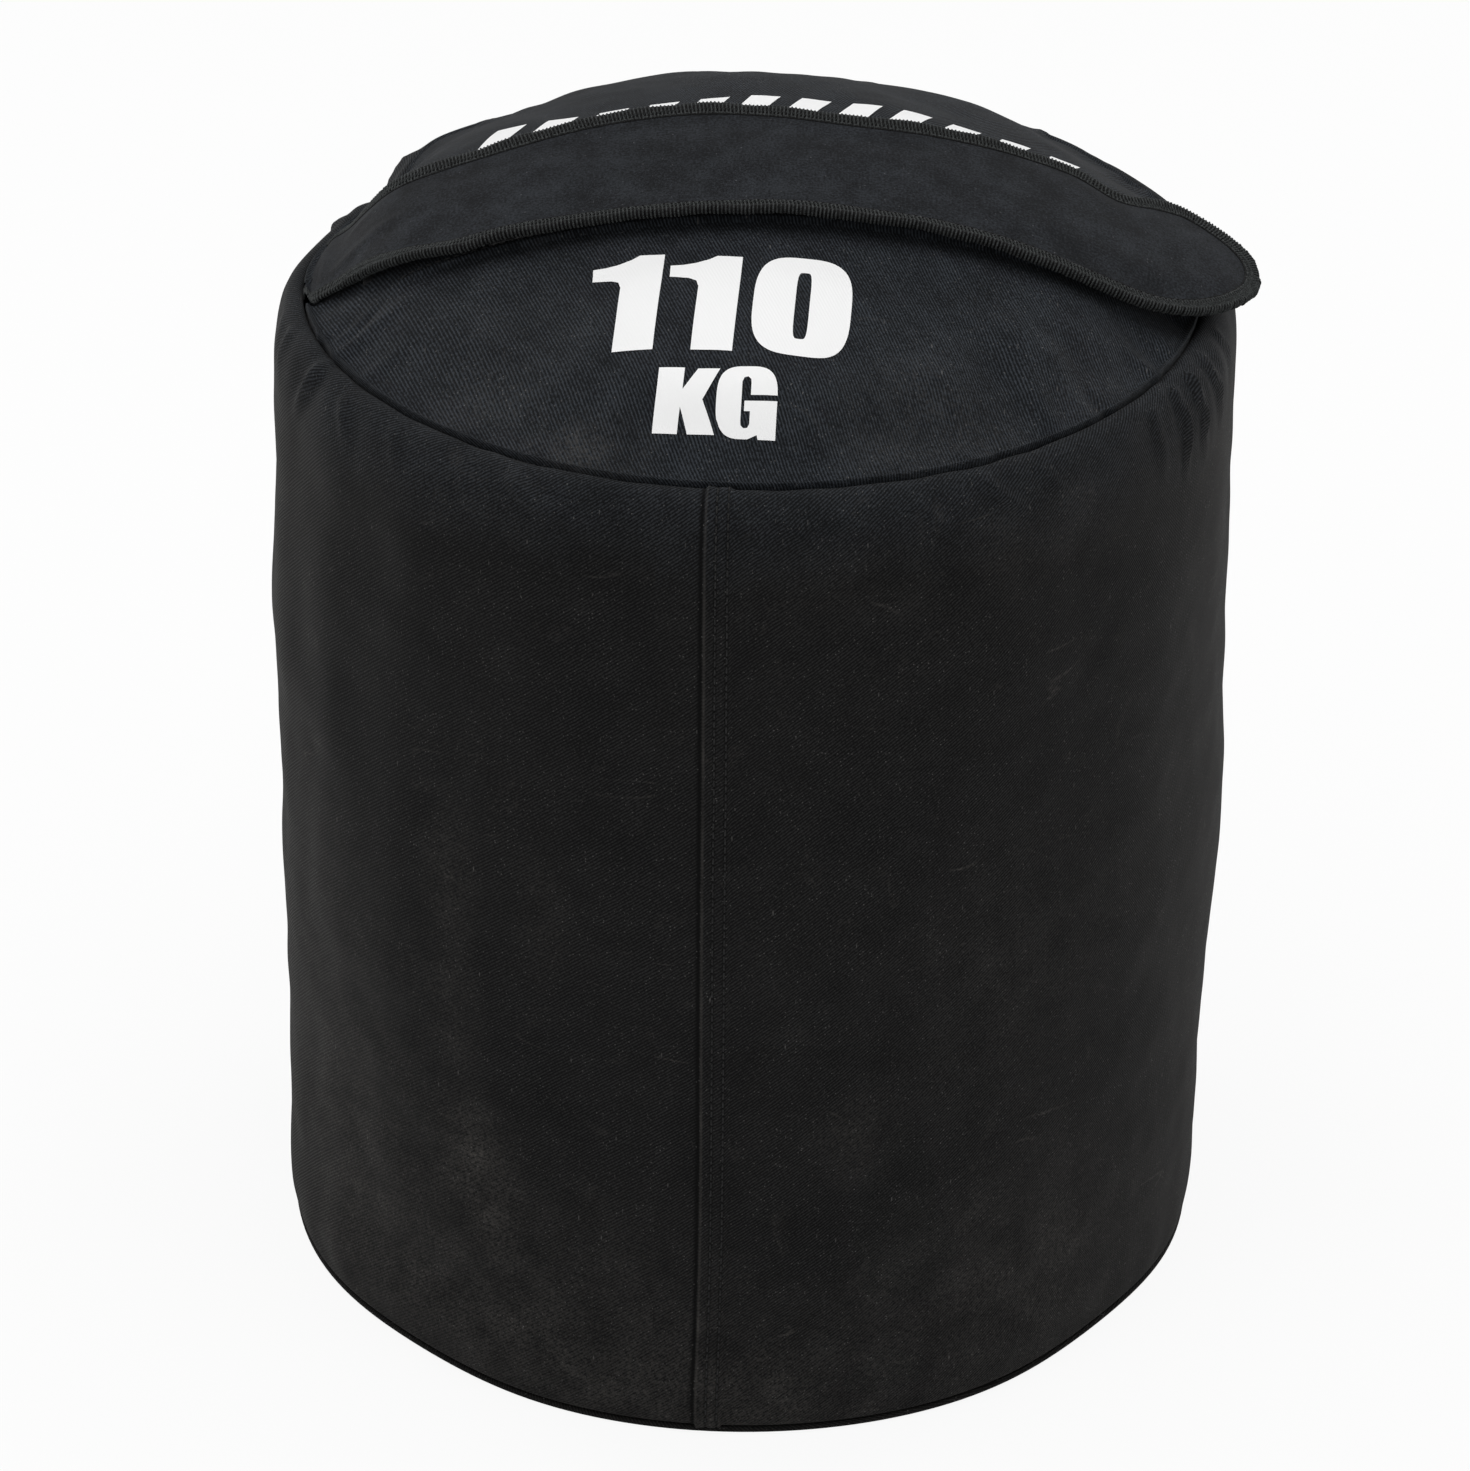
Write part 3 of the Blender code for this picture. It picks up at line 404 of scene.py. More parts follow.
class Nodes:
    # Makes and joins the nodes of a tree
    def __init__(self, tree):
        self.tree = tree

    def give(self, node, socket, value):
        target = node.inputs[socket]
        if isinstance(value, Wire):
            self.tree.links.new(value.socket, target)
        elif isinstance(value, tuple) and target.type == "RGBA":
            target.default_value = (*value, 1.0)
        else:
            target.default_value = value

    def node(self, kind, settings=None, values=None, out=0):
        made = self.tree.nodes.new(kind)
        for key, value in (settings or {}).items():
            if key == "stops":
                ramp = made.color_ramp
                for i, (place, level) in enumerate(value):
                    stop = ramp.elements[i] if i < 2 else ramp.elements.new(place)
                    stop.position, stop.color = place, (level, level, level, 1)
            else:
                setattr(made, key, value)
        for socket, value in (values or {}).items():
            self.give(made, socket, value)
        return Wire(self, made.outputs[out])

    def outputs(self, wire, *names):
        return [Wire(self, wire.socket.node.outputs[name]) for name in names]


class Finish(Nodes):
    # A material with its coordinates, patterns and relief
    def __init__(self, name, **sockets):
        self.material = bpy.data.materials.new(name)
        self.material.use_nodes = True
        super().__init__(self.material.node_tree)
        self.shader = self.tree.nodes["Principled BSDF"]
        self.out(**sockets)

    def flat(self):
        # The cloth's own coordinates, in metres
        place = self.node("ShaderNodeUVMap", {"uv_map": "cloth"})
        parts = self.node("ShaderNodeSeparateXYZ", {}, {0: place})
        return place, *self.outputs(parts, "X", "Y")

    def place(self):
        return self.node("ShaderNodeTexCoord", out="Object")

    def noise(self, where, scale, detail=2.0, rough=0.5, warp=0.0):
        return self.node("ShaderNodeTexNoise", {}, {
            "Vector": where, "Scale": scale, "Detail": detail, "Roughness": rough, "Distortion": warp})

    def stretched(self, where, turn, *scale):
        return self.node("ShaderNodeMapping", {}, {
            "Vector": where, "Rotation": (0, 0, turn), "Scale": (*scale, 1.0)})

    def specks(self, where, scale, size, share):
        # Small round flecks in a share of the cells
        cells = self.node("ShaderNodeTexVoronoi", {}, {"Vector": where, "Scale": scale})
        away, shade = self.outputs(cells, "Distance", "Color")
        chosen = self.node("ShaderNodeSeparateColor", {}, {0: shade}) > 1 - share
        return self.held((size - away) * (1.6 / size)) * chosen

    def held(self, value):
        return self.node("ShaderNodeClamp", {}, {0: value})

    def near(self, centre, reach, tall):
        # 1 at a point of the object's space, 0 from that far off, or so many times as far up and down
        squash = (1.0, 1.0, 1.0 / tall)
        place = self.node("ShaderNodeVectorMath", {"operation": "MULTIPLY"}, {0: self.place(), 1: squash})
        middle = (centre[0], centre[1], centre[2] / tall)
        away = self.node("ShaderNodeVectorMath", {"operation": "DISTANCE"}, {0: place, 1: middle}, "Value")
        return self.held(1 - away / reach)

    def size(self, value):
        return self.node("ShaderNodeMath", {"operation": "ABSOLUTE"}, {0: value})

    def sine(self, value):
        return self.node("ShaderNodeMath", {"operation": "SINE"}, {0: value})

    def wave(self, value):
        # Sine between 0 and 1
        return self.sine(value) * 0.5 + 0.5

    def mix(self, share, a, b):
        return self.node("ShaderNodeMix", {"data_type": "RGBA"}, {0: share, 6: a, 7: b}, out=2)

    def stops(self, value, *stops):
        return self.node("ShaderNodeValToRGB", {"stops": stops}, {0: value})

    def bump(self, height, distance, strength):
        return self.node("ShaderNodeBump", {}, {"Height": height, "Distance": distance, "Strength": strength})

    def out(self, **sockets):
        for socket, value in sockets.items():
            self.give(self.shader, socket.replace("_", " "), value)
        return self.material


def scaled(tone, by):
    return tuple(channel * by for channel in tone)


canvasLook = {
    "pitch": 0.00135,  # of the twill's lines
    "relief": 0.00030,
    "dark": (0.0022, 0.0023, 0.0025),
    "light": (0.0190, 0.0194, 0.0200),
    "shadow": (0.001, 0.001, 0.001),  # in the grooves beside its seam
    "dust": (0.072, 0.067, 0.062),
    "lint": (0.17, 0.165, 0.16),
    "sheen": 0.035,
    "sheenTint": (1.0, 0.95, 0.90),
    "roughness": 0.82,
}
twillAngles = {"wall": 38.0, "topFront": 112.0, "topRear": 64.0, "base": 38.0}


def twillWay(angle):
    # Turns of the twill's lines in a metre along each of the cloth's directions
    turn = 2 * math.pi / canvasLook["pitch"]
    return -math.sin(math.radians(angle)) * turn, math.cos(math.radians(angle)) * turn


def tinted(look, tint):
    return (tuple(a * b for a, b in zip(look[key], tint)) for key in ("dark", "light"))


def canvas(name, angle, tint, dust, scuff, patches=(), seam=None, litFrom=None, look=canvasLook):
    # Coated twill: raised lines at an angle from the cloth's own x, lint, scuffs and dusty patches.
    # seam is where a worn fold runs up it, with painted shade beside it and a lighter ridge that is partly
    # painted highlight; litFrom is a height above which it takes the top's lighter colour, painted light
    finish = Finish(name, Sheen_Weight=look["sheen"], Sheen_Roughness=0.42, Sheen_Tint=look["sheenTint"],
                    Specular_IOR_Level=0.12)
    where, u, v = finish.flat()
    alongU, alongV = twillWay(angle)
    drift = finish.noise(where, 260.0, 1.0)
    slow = finish.noise(where, 24.0, 2.0)
    line = finish.wave(u * alongU + v * alongV + drift * 2.2 + slow * 3.0)
    yarn = finish.wave((u + v * 0.35) * (2 * math.pi / look["pitch"] * 0.83) + drift * 3.0)
    weave = line * (0.70 + yarn * 0.30)
    broad = finish.noise(where, 13.0, 5.0, 0.62)
    cloud = finish.stops(broad, (0.36, 0.0), (0.70, 1.0))
    blotch = finish.noise(where, 46.0, 5.0, 0.66)
    grain = finish.noise(where, 700.0, 2.0, 0.75)
    shade = finish.held(weave * 1.10 + (grain - 0.5) * 2.6 + (blotch - 0.5) * 1.1 - 0.18)
    colour = finish.mix(shade, *tinted(look, tint))
    if litFrom:
        # Painted light: above that height the wall's shoulder blends into the top's lighter, bluer colour, as
        # if lit from above
        height = finish.outputs(finish.node("ShaderNodeSeparateXYZ", {}, {0: finish.place()}), "Z")[0]
        share = finish.held((height - litFrom) * 22.0 + (broad - 0.5) * 1.6) * 0.62
        colour = finish.mix(share, colour, finish.mix(shade, *tinted(look, topLitTint)))
    speckle = finish.stops(finish.noise(where, 520.0, 3.0, 0.8), (0.40, 0.06), (0.66, 1.0))
    worn = finish.noise(where, 38.0, 6.0, 0.74, 0.7)
    mask = finish.stops(worn, (0.58, 0.0), (0.74, 1.0))
    dusty = (cloud * dust + mask * scuff) * speckle
    patchy = finish.stops(blotch, (0.34, 0.22), (0.66, 1.0)) * speckle
    for centre, reach, amount, tall in patches:
        dusty = dusty + finish.near(centre, reach, tall) * patchy * amount
    track = finish.noise(finish.stretched(where, -0.22, 0.30, 1.0), 34.0, 1.0)
    scratch = finish.held(1 - finish.size(track - 0.52) / 0.010)
    scratch = scratch * finish.stops(finish.noise(where, 22.0, 2.0), (0.61, 0.0), (0.69, 1.0)) * speckle
    dusty = dusty + scratch * (scuff * 2.0)
    colour = finish.mix(finish.held(dusty), colour, look["dust"])
    if seam is not None:
        # Painted shade in the crease beside the seam's fold and in its stitch grooves; the lighter line along
        # the fold's ridge is partly wear and partly painted highlight
        ridge = finish.held(1 - finish.size(u - seam - 0.0009) / 0.0009) * finish.held(worn * 2.2 - 0.62)
        creaseShade = finish.held(1.3 - finish.size(u - seam + 0.0008) / 0.0012)
        colour = finish.mix(creaseShade * 0.9, colour, look["shadow"])
        colour = finish.mix(ridge * 0.62, colour, look["dust"])
        for row in wallLook["stitchRows"]:
            grooveShade = finish.held(1 - finish.size(u - seam - row) / 0.0010)
            colour = finish.mix(grooveShade * 0.7, colour, look["shadow"])
    fleck = finish.specks(where, 620.0, 0.23, 0.26)
    hair = finish.specks(finish.stretched(where, 0.7, 1.0, 0.22), 420.0, 0.15, 0.04)
    lint = finish.held((fleck + hair) * (blotch * 1.3 - 0.30 + cloud * 0.15))
    colour = finish.mix(lint, colour, look["lint"])
    height = weave + grain * 0.55 + cloud * 0.1
    rough = look["roughness"] + (grain - 0.5) * 0.16 - weave * 0.05
    return finish.out(Base_Color=colour, Roughness=finish.held(rough),
                      Normal=finish.bump(height, look["relief"], 0.6))


flapLook = {
    "pitch": 0.00062,
    "relief": 0.00010,
    "dark": (0.0055, 0.0062, 0.0074),
    "light": (0.0270, 0.0305, 0.0360),
    "lint": (0.17, 0.17, 0.18),
    "roughness": 0.80,
}


def flapCloth(name, look=flapLook):
    # Finer and smoother than the drum's canvas: thin ribs across the flap, a little lint
    finish = Finish(name, Sheen_Weight=0.02, Sheen_Roughness=0.45, Sheen_Tint=(1.0, 0.97, 0.95),
                    Specular_IOR_Level=0.12)
    where, u, v = finish.flat()
    turn = 2 * math.pi / look["pitch"]
    drift = finish.noise(where, 300.0, 1.0)
    rib = finish.wave(u * turn + drift * 2.0)
    pick = finish.wave(v * (turn * 0.8) + drift * 2.0)
    weave = rib * 0.6 + pick * 0.4
    grain = finish.noise(where, 820.0, 2.0, 0.75)
    broad = finish.noise(where, 14.0, 4.0, 0.6)
    blotch = finish.noise(where, 60.0, 5.0, 0.68)
    shade = weave * 0.30 + (grain - 0.5) * 3.0 + (broad - 0.5) * 0.7 + (blotch - 0.5) * 1.9 + 0.18
    colour = finish.mix(finish.held(shade), look["dark"], look["light"])
    fleck = finish.specks(where, 480.0, 0.20, 0.08)
    colour = finish.mix(finish.held(fleck * (blotch * 1.6 - 0.4)), colour, look["lint"])
    rough = look["roughness"] + (broad - 0.5) * 0.14
    return finish.out(Base_Color=colour, Roughness=finish.held(rough),
                      Normal=finish.bump(weave + grain * 0.4, look["relief"], 0.6))


def thread(name, tone, twist=0.0011):
    # Spun thread: slanted plies and stray fibres
    finish = Finish(name, Sheen_Weight=0.03, Sheen_Roughness=0.5, Specular_IOR_Level=0.15)
    _, u, v = finish.flat()
    fuzz = finish.noise(finish.place(), 2600.0, 2.0, 0.7)
    ply = finish.wave(u * (2 * math.pi / twist) + v * (2 * math.pi) + fuzz * 2.0)
    clump = finish.stops(finish.noise(finish.place(), 780.0, 3.0, 0.8), (0.38, 0.0), (0.62, 1.0))
    shade = finish.held(ply * 0.25 + fuzz * 0.25 + clump * 0.70 - 0.06)
    return finish.out(Base_Color=finish.mix(shade, scaled(tone, 0.22), scaled(tone, 1.70)),
                      Roughness=0.82 + (fuzz - 0.5) * 0.1, Normal=finish.bump(ply + fuzz * 0.5, 0.00012, 0.6))


def ribbed(name, tone, pitch, relief, roughness):
    # Narrow woven tape: ribs across it and a herringbone of yarns
    finish = Finish(name, Sheen_Weight=0.08, Sheen_Roughness=0.5, Specular_IOR_Level=0.35)
    where, u, v = finish.flat()
    fuzz = finish.noise(where, 1500.0, 2.0, 0.7)
    rib = finish.wave(u * (2 * math.pi / pitch) + fuzz * 0.8)
    yarn = finish.wave(v * (2 * math.pi / pitch * 0.7) + u * (math.pi / pitch))
    weave = rib * (0.7 + yarn * 0.3)
    shade = finish.held(weave * 0.7 + fuzz * 0.4 - 0.1)
    return finish.out(Base_Color=finish.mix(shade, scaled(tone, 0.6), scaled(tone, 1.4)),
                      Roughness=roughness + (fuzz - 0.5) * 0.12,
                      Normal=finish.bump(weave + fuzz * 0.3, relief, 0.7))


def pile(name, tone, scale, relief):
    # Hook or loop pile: a dense field of tiny points
    finish = Finish(name, Sheen_Weight=0.15, Sheen_Roughness=0.5, Specular_IOR_Level=0.3)
    where, _, _ = finish.flat()
    cells = finish.node("ShaderNodeTexVoronoi", {}, {"Vector": where, "Scale": scale})
    fuzz = finish.noise(where, 3000.0, 2.0, 0.7)
    height = finish.held(1 - cells * 1.4) + fuzz * 0.5
    return finish.out(Base_Color=finish.mix(finish.held(height * 0.8), scaled(tone, 0.5), scaled(tone, 1.5)),
                      Roughness=0.86 + (fuzz - 0.5) * 0.1, Normal=finish.bump(height, relief, 0.8))


def moulded(name, tone, roughness, metallic=0.0, wear=0.0, bare=(0.3, 0.3, 0.3)):
    # Moulded plastic or painted metal: fine orange peel, handling marks, worn patches
    finish = Finish(name, Metallic=metallic, Specular_IOR_Level=0.5)
    where = finish.place()
    peel = finish.noise(where, 1800.0, 2.0)
    marks = finish.noise(where, 240.0, 5.0, 0.7, 0.8)
    mask = finish.stops(marks, (0.56, 0.0), (0.74, 1.0))
    colour = finish.mix(peel * 0.6, tone, scaled(tone, 1.5))
    if wear:
        colour = finish.mix(mask * wear, colour, bare)
    rough = finish.held(roughness + (marks - 0.5) * 0.25 + mask * 0.08)
    return finish.out(Base_Color=colour, Roughness=rough,
                      Normal=finish.bump(peel + marks * 0.5, 0.00004, 0.5))


def linerCloth(name):
    # Coated inner cloth: a fine plain weave, faint fold lines, sand dust
    finish = Finish(name, Sheen_Weight=0.05, Specular_IOR_Level=0.4)
    where, u, v = finish.flat()
    fuzz = finish.noise(where, 900.0, 2.0, 0.7)
    weave = finish.sine(u * 7800.0) * finish.sine(v * 7800.0) * 0.5 + 0.5
    dust = finish.stops(finish.noise(where, 26.0, 5.0, 0.6), (0.40, 0.0), (0.75, 1.0))
    colour = finish.mix(finish.held(weave * 0.5 + fuzz * 0.5), (0.130, 0.133, 0.138), (0.215, 0.218, 0.222))
    colour = finish.mix(dust * 0.35, colour, (0.36, 0.30, 0.21))
    return finish.out(Base_Color=colour, Roughness=0.68 + (fuzz - 0.5) * 0.2,
                      Normal=finish.bump(weave + fuzz * 0.4, 0.00010, 0.6))


def nylon(name):
    # Milky tie with a fine ladder of ridges
    finish = Finish(name, Subsurface_Weight=0.08, Specular_IOR_Level=0.5)
    _, u, _ = finish.flat()
    haze = finish.noise(finish.place(), 300.0, 3.0)
    ridge = finish.wave(u * (2 * math.pi / 0.0016))
    return finish.out(Base_Color=finish.mix(haze, (0.56, 0.56, 0.53), (0.68, 0.68, 0.66)),
                      Roughness=0.42 + haze * 0.16, Normal=finish.bump(ridge, 0.00025, 0.7))


def sandGrains(name):
    # Dry sand: grains of several shades
    finish = Finish(name, Specular_IOR_Level=0.35)
    where = finish.place()
    cells = finish.node("ShaderNodeTexVoronoi", {}, {"Vector": where, "Scale": 1400.0})
    away, shade = finish.outputs(cells, "Distance", "Color")
    each = finish.node("ShaderNodeSeparateColor", {}, {0: shade})
    broad = finish.noise(where, 30.0, 4.0, 0.6)
    colour = finish.mix(finish.held(each * 0.8 + broad * 0.3), (0.26, 0.19, 0.115), (0.60, 0.49, 0.34))
    return finish.out(Base_Color=colour, Roughness=0.9 + (broad - 0.5) * 0.1,
                      Normal=finish.bump(1 - away, 0.0005, 0.8))


def ink(name):
    # White printed ink that takes the twill's relief, a little thin on its high lines
    finish = Finish(name, Specular_IOR_Level=0.4)
    where, u, v = finish.flat()
    alongU, alongV = twillWay(twillAngles["topFront"])
    drift = finish.noise(where, 260.0, 1.0)
    line = finish.wave(u * alongU + v * alongV + drift * 2.2)
    grain = finish.noise(where, 1200.0, 3.0, 0.7)
    thin = finish.stops(grain, (0.66, 0.0), (0.80, 1.0))
    return finish.out(Base_Color=finish.mix(thin * 0.10, (0.91, 0.91, 0.91), (0.55, 0.55, 0.56)),
                      Roughness=0.52 + (grain - 0.5) * 0.2, Normal=finish.bump(line, 0.00006, 0.4))


# Wall
wallLook = {
    "columns": 400,
    "seamAngle": -95.5,  # fold of the felled seam down the front, in degrees
    "seamWidth": 0.0120,
    "seamRaise": 0.0022,
    "seamFold": 0.0009,  # run of its sharp fold
    "seamFade": 0.0024,  # run of its soft far edge
    "seamRipple": (0.00018, 0.0075),  # height, size
    "stitchDip": (0.00045, 0.0007),  # depth, half width
    "strip": 0.040,  # width along the seam that is meshed finely
    "stripCell": 0.00055,
    "rows": (18, 132, 54),  # up its foot, its side and its shoulder
    "footRun": 0.024,
    "shoulderRun": 0.075,
    "footKnot": (0.2121, 0.022),
    "stitchRows": (0.0054, 0.0104),
    "stitchEnds": (0.016, 0.013),  # how far from the cloth's two edges the rows end
    "stitchPitch": 0.0042,
    "stitchLength": 0.0032,
    "threadRadius": 0.00042,
    "footLift": 0.0031,  # its folded edge stands on the base cloth's roll
    "rimTurn": 0.0024,
    "lumps": ((0.16, 0.0013, 3), (0.060, 0.00035, 4), (0.022, 0.00010, 5)),  # size, height, seed
    "drape": (0.0009, 0.075),  # long soft waves of its upper half: height, size
    "footRipple": (0.0006, 0.030),
    "pucker": 0.0011,  # at the rim seam
    "puckerSize": 0.021,
    "puckerFade": 0.017,
}
# Painted light: the top's canvas is the wall's cloth drawn about twice as light and bluer, as lit from above
topLitTint = (1.93, 2.20, 2.54)
wallTint = (0.97, 0.95, 0.93)
baseTint = (0.85, 0.80, 0.74)
# Dusty places: centre, reach, strength, how much taller than wide
wallDust = (
    ((-0.158, -0.146, 0.446), 0.050, 0.04, 1.0),
    ((-0.110, -0.185, 0.452), 0.036, 0.12, 0.6),
    ((-0.130, -0.171, 0.262), 0.020, 0.50, 2.6),
    ((-0.128, -0.172, 0.197), 0.018, 0.55, 2.2),
    ((-0.090, -0.195, 0.262), 0.016, 0.28, 3.0),
    ((-0.122, -0.177, 0.126), 0.030, 0.70, 1.2),
    ((-0.112, -0.184, 0.100), 0.018, 0.60, 2.2),
    ((-0.185, -0.110, 0.090), 0.120, 0.56, 1.6),
    ((-0.100, -0.190, 0.035), 0.160, 0.54, 0.6),
    ((0.125, -0.178, 0.055), 0.120, 0.56, 0.7),
    ((0.150, -0.160, 0.062), 0.030, 0.50, 0.7),
    ((0.050, -0.209, 0.154), 0.026, 0.50, 1.2),
    ((0.120, -0.182, 0.220), 0.090, 0.24, 1.2),
    ((0.000, -0.210, 0.010), 0.110, 0.56, 0.4),
    ((0.040, -0.205, 0.430), 0.050, 0.20, 0.6),
    ((0.120, -0.175, 0.440), 0.060, 0.24, 0.5),
    ((0.160, 0.140, 0.120), 0.160, 0.40, 1.0),
    ((-0.100, 0.190, 0.090), 0.150, 0.40, 1.0),
    ((0.060, 0.200, 0.300), 0.120, 0.30, 1.0),
)
# Patches on the top mixed towards the pale dust colour, strongest at the left front, which they lighten
topPalePatches = (
    ((-0.064, -0.187, 0.480), 0.030, 0.60, 1.0),
    ((-0.082, -0.176, 0.480), 0.022, 0.46, 1.0),
    ((-0.120, -0.152, 0.478), 0.040, 0.26, 1.0),
    ((-0.105, -0.115, 0.505), 0.085, 0.20, 1.0),
    ((0.062, -0.171, 0.488), 0.040, 0.42, 1.0),
    ((0.100, -0.159, 0.484), 0.028, 0.36, 1.0),
    ((0.145, -0.125, 0.480), 0.034, 0.20, 1.0),
    ((0.072, -0.140, 0.500), 0.030, 0.16, 1.0),
)
finishes = {
    "wall": canvas("wallCanvas", twillAngles["wall"], wallTint, 0.10, 0.34, wallDust,
                   seam=math.radians(wallLook["seamAngle"]) * drum["bodyRadius"], litFrom=0.425),
    "topFront": canvas("topFrontCanvas", twillAngles["topFront"], topLitTint, 0.05, 0.14, topPalePatches),
    "topRear": canvas("topRearCanvas", twillAngles["topRear"], topLitTint, 0.05, 0.14),
    "base": canvas("baseCanvas", twillAngles["base"], baseTint, 0.10, 0.30),
    "flap": flapCloth("flapCloth"),
    "serging": thread("sergingThread", (0.036, 0.039, 0.039)),
    "sheath": thread("sergingShadow", (0.007, 0.007, 0.007)),
    "sewing": thread("sewingThread", (0.020, 0.020, 0.020), 0.0008),
    "binding": ribbed("bindingTape", (0.016, 0.016, 0.017), 0.0012, 0.0002, 0.82),
    "zipTape": ribbed("zipTapeCloth", (0.014, 0.014, 0.015), 0.0009, 0.0001, 0.80),
    "hooks": pile("hookPile", (0.015, 0.015, 0.016), 1100.0, 0.0003),
    "loops": pile("loopPile", (0.014, 0.014, 0.015), 700.0, 0.0006),
    "plastic": moulded("zipPlastic", (0.016, 0.016, 0.017), 0.40),
    "metal": moulded("sliderMetal", (0.050, 0.050, 0.052), 0.36, 0.85, 0.5, (0.42, 0.40, 0.37)),
    "liner": linerCloth("linerCloth"),
    "nylon": nylon("tieNylon"),
    "sand": sandGrains("drySand"),
    "ink": ink("whiteInk"),
}
print("finishes made:", len(finishes))

# Folds of the wall: angle and height of each end, then half width and height
wallFolds = (
    ((-118.8, 0.466), (-111.0, 0.450), 0.0038, 0.0054),
    ((-113.8, 0.460), (-106.6, 0.446), 0.0028, 0.0034),
    ((-125.6, 0.466), (-122.0, 0.444), 0.0032, 0.0034),
    ((-83.2, 0.434), (-92.2, 0.380), 0.0055, 0.0020),
    ((-90.4, 0.460), (-87.0, 0.434), 0.0032, 0.0030),
    ((-86.5, 0.464), (-80.5, 0.440), 0.0031, 0.0040),
    ((-80.0, 0.464), (-73.0, 0.446), 0.0031, 0.0032),
    ((-70.5, 0.464), (-64.5, 0.442), 0.0034, 0.0032),
    ((-62.0, 0.468), (-55.5, 0.446), 0.0032, 0.0046),
    ((-54.0, 0.466), (-50.0, 0.448), 0.0030, 0.0028),
    ((-45.9, 0.466), (-40.5, 0.448), 0.0034, 0.0008),
    ((-34.0, 0.466), (-33.0, 0.424), 0.0028, 0.0018),
    ((-28.6, 0.468), (-27.6, 0.418), 0.0023, 0.0054),
    ((-24.6, 0.468), (-22.6, 0.420), 0.0023, 0.0052),
    ((-19.6, 0.468), (-16.5, 0.426), 0.0030, 0.0040),
    ((-12.0, 0.466), (-9.0, 0.434), 0.0036, 0.0026),
    ((-155.0, 0.468), (-160.5, 0.434), 0.0040, 0.0048),
    ((-166.0, 0.466), (-168.0, 0.442), 0.0040, 0.0022),
    ((-147.0, 0.466), (-144.0, 0.446), 0.0036, 0.0026),
    ((-137.0, 0.466), (-134.0, 0.450), 0.0034, 0.0018),
    ((-105.5, 0.464), (-100.5, 0.446), 0.0032, 0.0032),
    ((12.0, 0.465), (16.0, 0.440), 0.0045, 0.0026),
    ((40.0, 0.465), (43.0, 0.442), 0.0042, 0.0026),
    ((75.0, 0.465), (72.0, 0.438), 0.0045, 0.0026),
    ((110.0, 0.465), (114.0, 0.440), 0.0045, 0.0028),
    ((140.0, 0.465), (147.0, 0.432), 0.0055, 0.0042),
    ((160.0, 0.465), (154.0, 0.438), 0.0055, 0.0036),
    ((-72.0, 0.165), (-60.0, 0.178), 0.0060, 0.0010),
    ((-76.0, 0.120), (-62.0, 0.128), 0.0060, 0.0008),
    ((-130.0, 0.060), (-116.0, 0.088), 0.0080, 0.0014),
    ((-140.0, 0.150), (-125.0, 0.120), 0.0100, 0.0012),
    ((-60.0, 0.050), (-46.0, 0.068), 0.0080, 0.0012),
)


def arc(centreR, centreZ, radius, start, end, steps, height=None):
    turn = np.radians(np.linspace(start, end, steps + 1))
    return stacked(centreR + radius * np.cos(turn), centreZ + (height or radius) * np.sin(turn))


def wallProfile():
    # Right side of the wall's cloth, from the edge turned in at the base to the one turned in at the rim
    turn, rim, body = drum["turn"], drum["rimHeight"], drum["bodyRadius"]
    foot = drum["baseRadius"] + drum["seamGap"] / 2
    top = drum["rimRadius"] + drum["seamGap"] / 2
    start = np.array([(foot, drum["allowance"] + 0.001)])
    fold = arc(foot + turn, turn + wallLook["footLift"], turn, 180, 360, 14)
    bend = wallLook["rimTurn"]
    roll = body * drum["wallShares"][-1][1] - top - bend
    shoulder = arc(top + bend, rim + bend - drum["shoulderDrop"], roll, 0, 90, 16, drum["shoulderDrop"])
    sides = [(body * wide, rim * high) for high, wide in drum["wallShares"]]
    knots = np.array([fold[-1], wallLook["footKnot"], *sides, shoulder[0]])
    heights = np.linspace(knots[0, 1], knots[-1, 1], 96)
    side = stacked(between(knots[:, ::-1], heights), heights)
    rimFold = arc(top + bend, rim, bend, 90, 180, 7)
    end = np.array([(top, rim - drum["allowance"])])
    return np.concatenate([start, fold, side[1:-1], shoulder, rimFold[1:], end])


wallLine = wallProfile()
wallLength = lengths(wallLine)
wallSlope = np.gradient(wallLine, wallLength, axis=0)
unrolledFolds = [
    ((math.radians(a) * drum["bodyRadius"], b), (math.radians(c) * drum["bodyRadius"], d), wide, tall)
    for (a, b), (c, d), wide, tall in wallFolds]


def seamShape(across, height):
    # Cross-section of the felled seam: a sharp fold, a flat band with its rows of stitches, a soft far edge
    look = wallLook
    fade, (deep, wide), (tall, size) = look["seamFade"], look["stitchDip"], look["seamRipple"]
    rise = ease(across / look["seamFold"]) * (1 - ease((across - look["seamWidth"] + fade / 2) / fade))
    roll = np.exp(-(((across - 0.0012) / 0.0011) ** 2)) * 0.0005
    shape = rise * look["seamRaise"] * 0.72 + roll
    for row in look["stitchRows"]:
        shape = shape - deep * np.exp(-(((across - row) / wide) ** 2)) * rise
    shape = shape + tall * rise * np.sin(height * 2 * math.pi / size)
    return shape * (1 - 0.35 * ease((height - 0.40) / 0.05))


